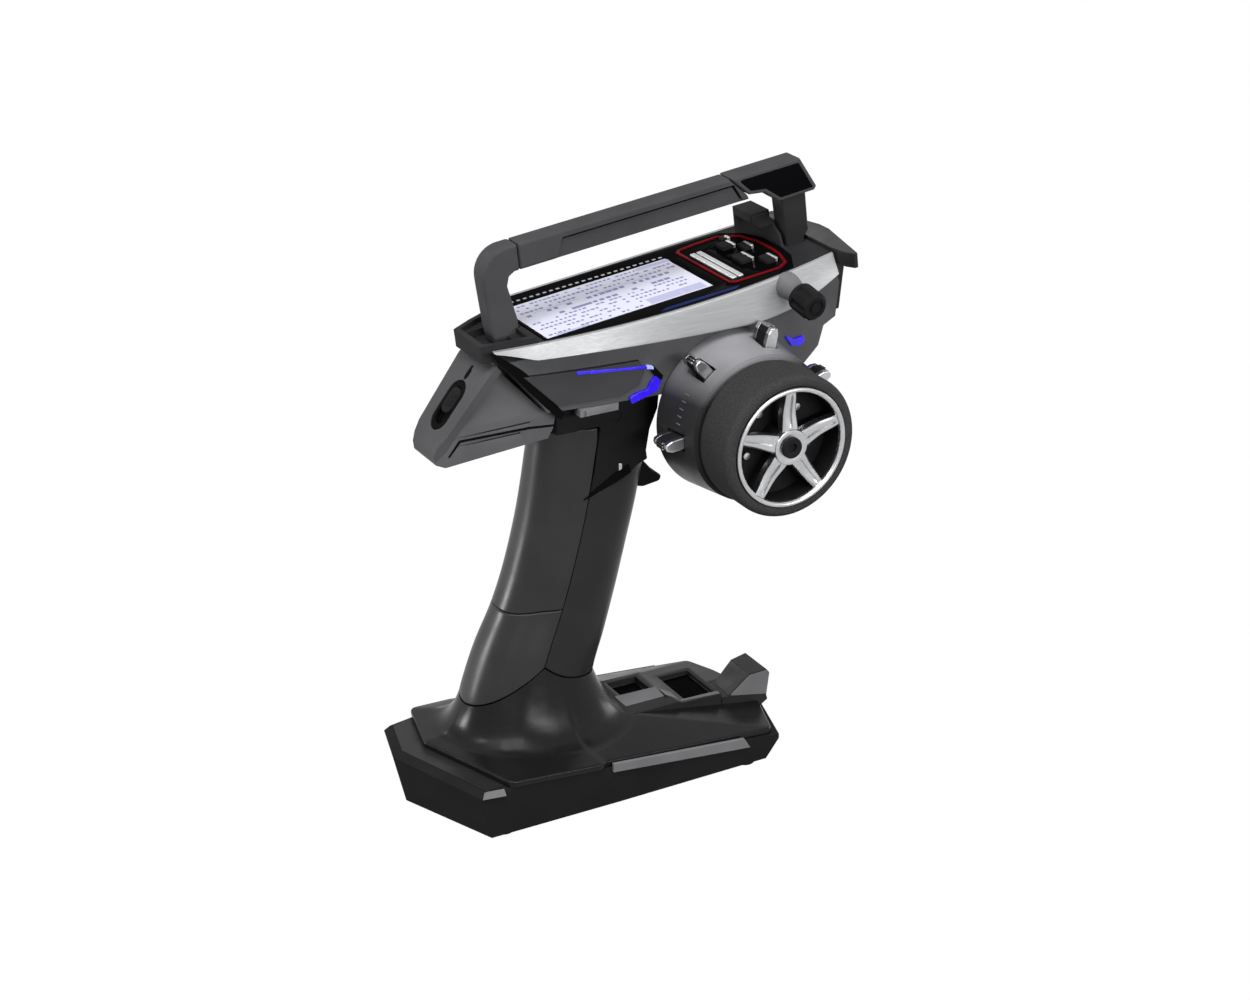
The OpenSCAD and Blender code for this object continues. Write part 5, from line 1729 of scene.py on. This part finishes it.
@dataclass
class ControlPanel:
    """Window with the display, and the keypad with its red outline."""

    rear: float = -77.5
    front: float = -3.9
    right: float = -18.0
    left: float = 19.7
    glass: Pair = (-5.0, 0.1)
    on_window: Pair = (0.28, 0.36)
    tint: Line = ((-33, -26.6), (1, -27.4), (4, -25.4), (-29, -24.4))
    ink: float = 0.08
    fields: tuple[tuple[str, float, float, ScreenMarks], ...] = (
        ("marks_title", -46, 17.2, ScreenMarks(30, 1, 56, 0.0, 0.8, 1.7, 1.1, 0.8, 3)),
        ("marks_upper", -40, 12.0, ScreenMarks(34, 2, 68, 3.6, 0.9, 1.9, 1.3, 0.72, 4)),
        ("marks_middle", -42, 3.6, ScreenMarks(22, 2, 62, 5.2, 1.5, 3.0, 2.0, 0.7, 8)),
        ("marks_lower", -42, -5.2, ScreenMarks(34, 3, 66, 6.4, 0.8, 1.8, 1.2, 0.7, 5)),
        ("marks_foot", -54, -13.6, ScreenMarks(22, 2, 42, 4.0, 0.8, 1.8, 1.2, 0.6, 7)))
    blocks: tuple[Four, ...] = (
        (-18.5, -14.2, 25, 5.6), (-10.5, 17.4, 17, 2.6), (-66, -17, 14, 1.2), (-60, 8.0, 20, 0.5),
        (-30, 8.0, 24, 0.5))
    tick_count: int = 24
    tick_size: Pair = (1.5, 1.1)
    tick_step: Triple = (2.9, -0.08, 0)
    first_tick: Pair = (-72, 23.2)
    key_top: float = 1.7
    key_low: float = -4.15
    bar: Four = (6.5, -3.3, 5.8, 33.4)
    keys: tuple[tuple[str, float, float, float, float], ...] = (
        ("key_cursor", 20.4, 12.4, 6, 6.4), ("key_enter", 18.5, -3.6, 6, 8.6), ("key_back", 25.6, -11.4, 5.2, 7.2),
        ("key_page", 26, 6.4, 4.4, 6.4), ("key_end", 23.6, 18.6, 3.8, 3.6))

    def box(self, s: float, t: float, ds: float, dt: float) -> Line:
        """Corners of a rectangle on the panel."""
        a, b = ds / 2, dt / 2
        return rect(s - a, t - b, s + a, t + b)

    def marks(self, name: str, s: float, t: float, field: ScreenMarks) -> None:
        """Strew one field of marks over the display.

        Args:
            name: Name of the piece.
            s: Middle along the body.
            t: Middle across the body.
            field: Size and share of the marks.
        """
        bar = slab(name, self.box(0, 0, 1, 1), 0.0, 0.06, local, 0.02, 0.0, 1)
        piece = settle(field.apply(bar, INK), lambda x, y, z: FR.tilted(x + s, y + t, z + self.ink))
        dress(piece, INK, "screen", False)

    def display(self) -> None:
        """Build the display with its generic bars and blocks."""
        outline = rect(self.rear, self.right, self.front, self.left)
        dress(slab("display_plate", outline, *self.glass, FR.tilted, 0.12, 0.4), GLASS, "screen")
        for field in self.fields:
            self.marks(*field)
        blocks = [slab("block", self.box(*block), self.ink, 0.15, FR.tilted, 0.03, 0.2, 1) for block in self.blocks]
        dress(merged("display_blocks", blocks), SHADED, "screen", False)

    def ticks(self) -> None:
        """Build the row of pale ticks along the window's far edge."""
        tick = slab("window_ticks", self.box(0, 0, *self.tick_size), *self.on_window, local, 0.02, 0.1, 1)
        row = Repeat(self.tick_count, step=tuple(x * MM for x in self.tick_step)).apply(tick, PALE)
        s, t = self.first_tick
        dress(settle(row, lambda x, y, z: FR.tilted(x + s, y + t, z)), PALE, "display_panel", False)

    def bar_key(self) -> None:
        """Build the long key with its two bright strips."""
        s, t, _, dt = self.bar
        base = slab("bar_key_base", self.box(*self.bar), self.key_low, self.key_top - 0.7, FR.tilted, 0.3, 0.6)
        dress(base, BLACK, "key_bar")
        strips = [slab("strip", self.box(s + k * 1.5, t, 2.35, dt - 0.6), self.key_top - 1.0, self.key_top,
                       FR.tilted, 0.35, 0.5) for k in (-1, 1)]
        dress(even(merged("bar_key_strips", strips)), KEY, "key_bar", False)

    def small_key(self, name: str, s: float, t: float, ds: float, dt: float) -> None:
        """Build a dark key with a bright front edge.

        Args:
            name: Name of the key's node.
            s: Middle along the body.
            t: Middle across the body.
            ds: Length.
            dt: Width.
        """
        outline = self.box(s - 0.35, t, ds - 0.7, dt)
        cap = slab(f"{name}_cap", outline, self.key_low, self.key_top, FR.tilted, 0.55, 1.0)
        dress(cap, BLACK, name)
        edge = slab(f"{name}_edge", self.box(s + ds / 2 - 0.7, t, 1.4, dt - 0.4), self.key_low, self.key_top + 0.1,
                    FR.tilted, 0.3, 0.3)
        dress(edge, KEY, name, False)

    def build(self) -> None:
        """Build and dress the window, the display and the keys."""
        mould("display_panel", 0.15, GLOSS)
        self.display()
        self.ticks()
        mould("keypad_ring", 0.15, RED)
        self.bar_key()
        for key in self.keys:
            self.small_key(*key)
        tint = slab("window_tint", self.tint, *self.on_window, FR.tilted, 0.03, 0.4)
        dress(tint, TINT, "display_panel", False)
        paint_nodes(main_board=BOARD, radio_module=STEEL)


# ---------------------------------------------------------------- steering


@dataclass
class Steering:
    """Steering wheel with its hub, trim levers and inner pieces."""

    foam_r: float = 29.0
    rim_r: float = 24.4
    inner_r: float = 22.9
    front: float = 71.8
    foam_wide: float = 21.2
    foam_back: float = 0.8
    shoulder: float = 2.4
    spokes: int = 5
    spoke_from: float = 4.6
    spoke_back: float = 1.2
    spoke_deep: float = 4.0
    dip: float = 0.84
    root_w: float = 8.0
    tip_w: float = 4.8
    web: float = 56.8
    lever_first: float = 21.0
    lever_step: float = 54.6
    lever_pivot: float = 27.0
    lever_r: float = 4.0
    lever_side: float = 2.6
    core_in: float = 2.2
    rib_in: float = 2.8
    lever_low: float = 31.95
    lever_high: float = 42.45
    lever_tip: Line = ((9.2, -2.3), (11.6, -1.4), (12.0, 0), (11.6, 1.4), (9.2, 2.3))
    lever_rib: Line = rect(10.9, -1.5, 12.15, -0.9)
    rib_step: float = 1.2
    groove: Pair = (8.2, 20.8)
    groove_size: Pair = (0.62, 0.8)
    no_groove: Pair = (0.02, 0.02)
    levers: int = 4
    lip: Line = ((22.3, 69.65), (22.3, 70.6), (22.55, 71.25), (23.0, 71.65), (23.5, 71.8), (24.0, 71.7),
                 (24.3, 71.35), (24.4, 70.8), (24.4, 69.65))
    collar: Line = ((4.25, 68.5), (7.4, 68.5), (7.4, 70.4), (7.0, 71.0), (6.0, 71.2), (5.4, 70.9), (4.25, 70.9))
    nut: Line = ((0.01, 2.3), (1.9, 2.3), (1.9, 3.4), (1.4, 4.2), (0.01, 4.4))
    nut_at: float = 14.5
    tick: Line = rect(31.55, -0.22, 31.9, 0.22)
    tick_span: Pair = (37.2, 39.8)
    tick_turn: float = 5.5
    ticks: int = 5
    first_tick: float = 150.0

    def foam(self) -> Piece:
        """Make the foam tyre with round shoulders.

        Returns:
            The tyre.
        """
        front, r = self.front - self.foam_back, self.shoulder
        back = front - self.foam_wide
        arc = [math.pi / 2 * k / 6 for k in range(7)]
        shoulder = [(self.foam_r - r * (1 - math.cos(a)), front - r * (1 - math.sin(a))) for a in arc]
        section = [(self.rim_r + 0.03, back), *[(x, back + front - z) for x, z in reversed(shoulder)], *shoulder,
                   (self.rim_r + 0.9, front), (self.rim_r + 0.4, front - 0.3), (self.rim_r + 0.03, front - 1.0)]
        return lathe("tyre", section, FR.steered, 160)

    def spoke(self) -> Piece:
        """Make one spoke that points ahead, with a groove along its front.

        Returns:
            The spoke, in the frame of the wheel.
        """
        front, deep = self.front - self.spoke_back, self.spoke_deep
        rows = []
        for k in range(15):
            x = mix(self.spoke_from, self.inner_r + 0.2, k / 14)
            h = mix(self.root_w, self.tip_w, (x - 3) / (self.inner_r - 3)) / 2
            z = front - self.dip * math.sin(math.pi * min(1.0, max(0.0, (x - 6) / 16))) ** 2
            g, d = self.groove_size if self.groove[0] < x < self.groove[1] else self.no_groove
            half = [(h, z - deep), (h, z - 1.2), (h - 0.35, z - 0.5), (h - 1.0, z), (g, z), (g, z - d)]
            rows.append([(x, -y, c) for y, c in half] + [(x, y, c) for y, c in reversed(half)])
        cols = len(rows[0])
        faces = grid_faces(len(rows), cols, round_cols=True)
        faces += [list(range(cols)), list(range((len(rows) - 1) * cols, len(rows) * cols))]
        return new_piece("wheel_spokes", [local(*p) for row in rows for p in row], faces, 32.0)

    def round_axis(self, piece: Piece, finish: Finish, first: float = 90.0) -> Piece:
        """Repeat a piece round the wheel's axis, once for each spoke."""
        turn = Repeat(self.spokes, turn=(0, 0, 2 * math.pi / self.spokes), first=(0, 0, math.radians(first)))
        return even(settle(turn.apply(piece, finish), FR.steered))

    def wheel(self) -> None:
        """Build and dress the wheel."""
        dress(self.foam(), FOAM, "wheel_foam")
        a, b, web = self.rim_r, self.inner_r, self.web
        barrel = ((3.05, 50.8), (7, 50.8), (7, web), (b, web), (b, 50.8), (a, 50.8), (a, 69.6), (b, 69.6),
                  (b, web + 2.4), (7, web + 2.4), (7, 68.4), (3.05, 68.4))
        dress(lathe("wheel_barrel", barrel, FR.steered), BLACK, "wheel_rim")
        dress(lathe("wheel_lip", self.lip, FR.steered, 160), CHROME, "wheel_rim")
        dress(self.round_axis(self.spoke(), CHROME), CHROME, "wheel_rim")
        nut = lathe("wheel_nuts", self.nut, lambda x, y, z: local(x + self.nut_at, y, z + web), 24)
        dress(self.round_axis(nut, CHROME, 126), CHROME, "wheel_rim", False)
        dress(lathe("wheel_collar", self.collar, FR.steered), CHROME, "wheel_rim", False)
        mould("wheel_cap", 0.4, BLACK)
        paint_nodes(steering_shaft=STEEL)

    def lever(self, number: int) -> None:
        """Build and dress one trim lever.

        Args:
            number: Number of the lever, from 1.
        """
        angle = math.radians(self.lever_first + (number - 1) * self.lever_step)
        node = f"trim_lever_{number}"

        def place(x: float, y: float, z: float) -> Vector:
            """Find a point of the lever.

            Args:
                x: Way out from the pivot.
                y: Way across the lever.
                z: Way along the wheel's axis.

            Returns:
                The point.
            """
            px = self.lever_pivot + x
            return FR.steered(px * math.cos(angle) - y * math.sin(angle),
                              px * math.sin(angle) + y * math.cos(angle), z)

        low, high = self.lever_low, self.lever_high
        swings, r, side = [math.radians(d) for d in range(35, 326, 15)], self.lever_r, self.lever_side
        outline = [*((r * math.cos(a), r * math.sin(a)) for a in swings), *self.lever_tip]
        core = slab(f"{node}_core", outline, low + self.core_in, high - self.core_in, place, 0.4, 0.5)
        dress(core, BLACK, node)
        spans = ((low, low + side), (high - side, high))
        sides = [slab("side", outline, *span, place, 0.5, 0.5) for span in spans]
        dress(even(merged(f"{node}_sides", sides)), CHROME, node, False)
        rib = slab(f"{node}_ribs", self.lever_rib, low + self.rib_in, high - self.rib_in, local, 0.15, 0.15, 1)
        ribs = settle(Repeat(3, step=(0, self.rib_step * MM, 0)).apply(rib, CHROME), place)
        dress(ribs, CHROME, node, False)

    def hub_marks(self) -> None:
        """Build the ticks on the hub's side."""
        tick = slab("hub_ticks", self.tick, *self.tick_span, local, 0.05, 0.05, 1)
        row = Repeat(self.ticks, turn=(0, 0, math.radians(self.tick_turn)),
                     first=(0, 0, math.radians(self.first_tick)))
        dress(settle(row.apply(tick, SLATE), FR.steered), SLATE, "hub_housing", False)

    def build(self) -> None:
        """Build and dress the steering."""
        # The hub's finish carries a painted highlight on its top.
        mould("hub_housing", 0.5, HUB_PAINTED_TOP)
        self.hub_marks()
        self.wheel()
        for number in range(1, self.levers + 1):
            self.lever(number)
        mould("steering_box", 0.6, CHARCOAL)
        paint_nodes(shaft_bearings=STEEL, steering_sensor=BOARD, return_spring=STEEL)


# ---------------------------------------------------------------- handle and dial


@dataclass
class Handle:
    """Carrying handle: bar with sunk sides, curved leg and end block with a bare plate."""

    low: float = 24.4
    tall: float = 10.8
    half: float = 4.5
    rear: float = -78.5
    front: float = 20.0
    back: float = -94.8
    bend_r: float = 11.0
    gap: float = 0.25
    end_half: float = 5.2
    post_half: float = 4.2
    sunk: float = 1.1

    def bar(self) -> Piece:
        """Make the bar with its sunk side panels.

        Returns:
            The bar.
        """
        low, top, front = self.low, self.low + self.tall, self.front
        outline = ((self.rear, low), (front + 4, low), (front + 3.2, low + 2), (front - 4.6, top), (self.rear, top))
        bar = slab("handle_bar_skin", outline, -self.half, self.half, across_tilted, 1.3, 0.4, 4)
        sunk = ((-64, low - 2), (-59.6, low + 8.0), (front - 2.8, low + 8.0), (front + 2, low - 2))
        return even(carve(bar, *both_sides("sunk", sunk, self.half - self.sunk, 9, across_tilted, 0.3, 0.8)))

    def painted_shadow_lines(self) -> Piece:
        """Make the dark lines round the sunk panels: painted shadow along the recess's upper walls.

        Returns:
            The painted shadow lines, as one piece.
        """
        low, front, deep = self.low, self.front, self.half - self.sunk
        loop = ((-64.2, low + 0.1), (-59.8, low + 8.1), (front - 2.8, low + 8.1), (front + 0.8, low + 1.2),
                (front - 0.2, low + 1.2), (front - 3.4, low + 7), (-59.1, low + 7), (-63, low + 0.1))
        # Thin black plates on the recess floor: painted shadow where the recess walls shade it.
        lines = both_sides("groove", loop, deep - 0.3, deep + 0.15, across_tilted, 0.05, 0.1)
        return even(merged("bar_painted_shadows", lines))

    def leg(self) -> Piece:
        """Make the curved rear leg.

        Returns:
            The leg.
        """
        low, top, joint = self.low, self.low + self.tall, self.rear - self.gap
        back, bend_r = self.back, self.bend_r
        swings = [math.radians(a) for a in range(0, 91, 9)]
        bend = [(back + bend_r - bend_r * math.sin(a), top - bend_r + bend_r * math.cos(a)) for a in swings]
        outline = [(-93.4, -2.5), (-94.2, 4), (back, 22), *reversed(bend), (joint, top), (joint, low), (-81, low),
                   (-83.6, low - 1.4), (-84.8, low - 5), (-82.4, 5), (-82.4, -2.5)]
        return slab("handle_leg_skin", outline, -self.half, self.half, across_tilted, 1.3, 1.2, 4)

    def end(self) -> None:
        """Build the end block with its post and its bare plates."""
        low, top = self.low, self.low + self.tall
        block = ((15.65, top), (23.45, low + 2.2), (30.4, low + 1.2), (37, low - 4.4), (53.6, low - 4),
                 (54.8, low - 2.6), (48, top + 0.2))
        body = slab("handle_end_skin", block, -self.end_half, self.end_half, across_tilted, 0.9, 0.8, 4)
        foot = ((39.4, -2.5), (47.8, -2.5), (47.8, 1.8), (50, 4.2), (50, low - 3), (38.4, low - 3))
        post = slab("handle_post_skin", foot, -self.post_half, self.post_half, across_tilted, 0.9, 0.6, 4)
        dress(body, HANDLE, "handle_end")
        # The post's darker finish is partly painted shade, for the shadow on its faces under the end block.
        dress(post, DUSK, "handle_end", False)
        loop = inset(turned_left(block), 1.6)
        side = self.end_half
        plates = both_sides("plate", loop, side - 0.3, side + 0.15, across_tilted, 0.15, 0.8, 2)
        dress(even(merged("end_plates", plates)), GLOSS, "handle_end", False)

    def build(self) -> None:
        """Build and dress the handle."""
        dress(self.bar(), HANDLE, "handle_bar")
        # Painted shadow along the sunk panels' upper edges.
        dress(self.painted_shadow_lines(), PITCH, "handle_bar", False)
        dress(self.leg(), HANDLE, "handle_leg")
        self.end()
        paint_nodes(aerial=BRASS)


@dataclass
class Dial:
    """Turning dial on the bright band."""

    width: float = 0.3

    def build(self) -> None:
        """Build and dress the dial."""
        mould("dial_stem", self.width, SLATE)
        mould("dial_knob", self.width, BLACK)


# ---------------------------------------------------------------- studio


@dataclass(frozen=True)
class Lamp:
    """Soft area lamp, in metres and watts."""

    name: str
    place: Triple
    size: Pair
    power: float

    def build(self, aim: Triple) -> None:
        """Make the lamp.

        Args:
            aim: Point that the lamp faces.
        """
        data = bpy.data.lights.new(self.name, "AREA")
        data.shape, data.size, data.size_y, data.energy = "RECTANGLE", *self.size, self.power
        lamp = linked(self.name, data)
        lamp.location = self.place
        lamp.rotation_euler = (Vector(aim) - Vector(self.place)).to_track_quat("-Z", "Y").to_euler()


@dataclass
class Studio:
    """Camera, pale floor and soft light."""

    camera_at: Triple = (-0.45255, -0.8009, 0.5327)
    looks: Triple = (0.4457, 0.7974, -0.4067)
    lens: float = 72.98
    sensor: float = 36.0
    clip: Pair = (0.05, 20.0)
    ambient: float = 0.12
    floor_half: float = 4.0
    floor_top: float = -0.0001
    floor_tone: float = 0.14
    floor_glow: float = 1.07
    glow_share: float = 0.93
    middle: Triple = (-0.01, 0.0, 0.12)
    lamps: tuple[Lamp, ...] = (
        Lamp("key", (0.2, -1.28, 0.53), (1.15, 0.2), 13.5),
        Lamp("strip", (-1.1, 0.58, 0.17), (0.3, 0.28), 7.0),
        Lamp("top", (-0.3, -0.4, 1.25), (0.8, 0.8), 12.5),
        Lamp("rim", (-0.5, 1.1, 0.9), (0.3, 0.15), 2.0),
        Lamp("back", (-1.0, -0.2, 0.95), (0.3, 0.3), 3.0),
        Lamp("fill", (1.3, 0.15, 0.3), (0.5, 0.4), 3.5))

    def camera(self) -> None:
        """Make the camera at the photograph's viewing angle."""
        data = bpy.data.cameras.new("camera")
        data.lens, data.sensor_width, data.sensor_fit = self.lens, self.sensor, "HORIZONTAL"
        data.clip_start, data.clip_end = self.clip
        camera = linked("camera", data)
        camera.location = self.camera_at
        camera.rotation_euler = Vector(self.looks).to_track_quat("-Z", "Y").to_euler()
        bpy.context.scene.camera = camera

    def seen(self, tree: bpy.types.NodeTree) -> Socket:
        """Value that is 1 for rays of the camera, of gloss and of glass.

        Args:
            tree: Node tree to add to.

        Returns:
            The value's socket.
        """
        path = tree.nodes.new("ShaderNodeLightPath")
        value = path.outputs["Is Camera Ray"]
        for name in ("Is Glossy Ray", "Is Transmission Ray"):
            most = tree.nodes.new("ShaderNodeMath")
            most.operation = "MAXIMUM"
            tree.links.new(value, most.inputs[0])
            tree.links.new(path.outputs[name], most.inputs[1])
            value = most.outputs[0]
        return value

    def world(self) -> None:
        """Make the white background and the ambient light."""
        world = bpy.data.worlds.new("studio")
        world.use_nodes = True
        tree = world.node_tree
        pick = tree.nodes.new("ShaderNodeMix")
        pick.data_type = "FLOAT"
        pick.inputs[2].default_value, pick.inputs[3].default_value = self.ambient, 1.0
        tree.links.new(self.seen(tree), pick.inputs[0])
        tree.links.new(pick.outputs[0], tree.nodes["Background"].inputs["Strength"])
        tree.nodes["Background"].inputs["Color"].default_value = (1, 1, 1, 1)
        bpy.context.scene.world = world

    def floor(self) -> None:
        """Make the pale floor, which keeps the shadow."""
        half = self.floor_half
        corners = [Vector((x, y, self.floor_top)) for x, y in rect(-half, -half, half, half)]
        floor = new_piece("floor", corners, [[0, 1, 2, 3]])
        material = bpy.data.materials.new("pale_floor")
        material.use_nodes = True
        tree = material.node_tree
        bsdf = tree.nodes["Principled BSDF"]
        fill(bsdf, {"Base_Color": (*[self.floor_tone] * 3, 1), "Roughness": 0.9, "Specular_IOR_Level": 0.0})
        light, blend, share = (tree.nodes.new(kind) for kind in (
            "ShaderNodeEmission", "ShaderNodeMixShader", "ShaderNodeMath"))
        light.inputs["Strength"].default_value = self.floor_glow
        share.operation = "MULTIPLY"
        share.inputs[1].default_value = self.glow_share
        tree.links.new(self.seen(tree), share.inputs[0])
        tree.links.new(share.outputs[0], blend.inputs["Fac"])
        tree.links.new(bsdf.outputs[0], blend.inputs[1])
        tree.links.new(light.outputs[0], blend.inputs[2])
        tree.links.new(blend.outputs[0], tree.nodes["Material Output"].inputs["Surface"])
        floor.data.materials.append(material)

    def build(self) -> None:
        """Set up the studio."""
        self.camera()
        self.world()
        self.floor()
        for lamp in self.lamps:
            lamp.build(self.middle)
        bpy.context.scene.view_settings.view_transform = "Standard"


def main() -> None:
    """Build every sub-assembly."""
    logging.basicConfig(level=logging.INFO, format="%(message)s")
    grip = Grip()
    Studio().build()
    for part in (grip, TriggerSet(), Base(grip), RearPod(), UpperBody(), ControlPanel(), Steering(), Handle(),
                 Dial()):
        LOG.info("building %s", type(part).__name__)
        part.build()


if __name__ == "__main__":
    main()
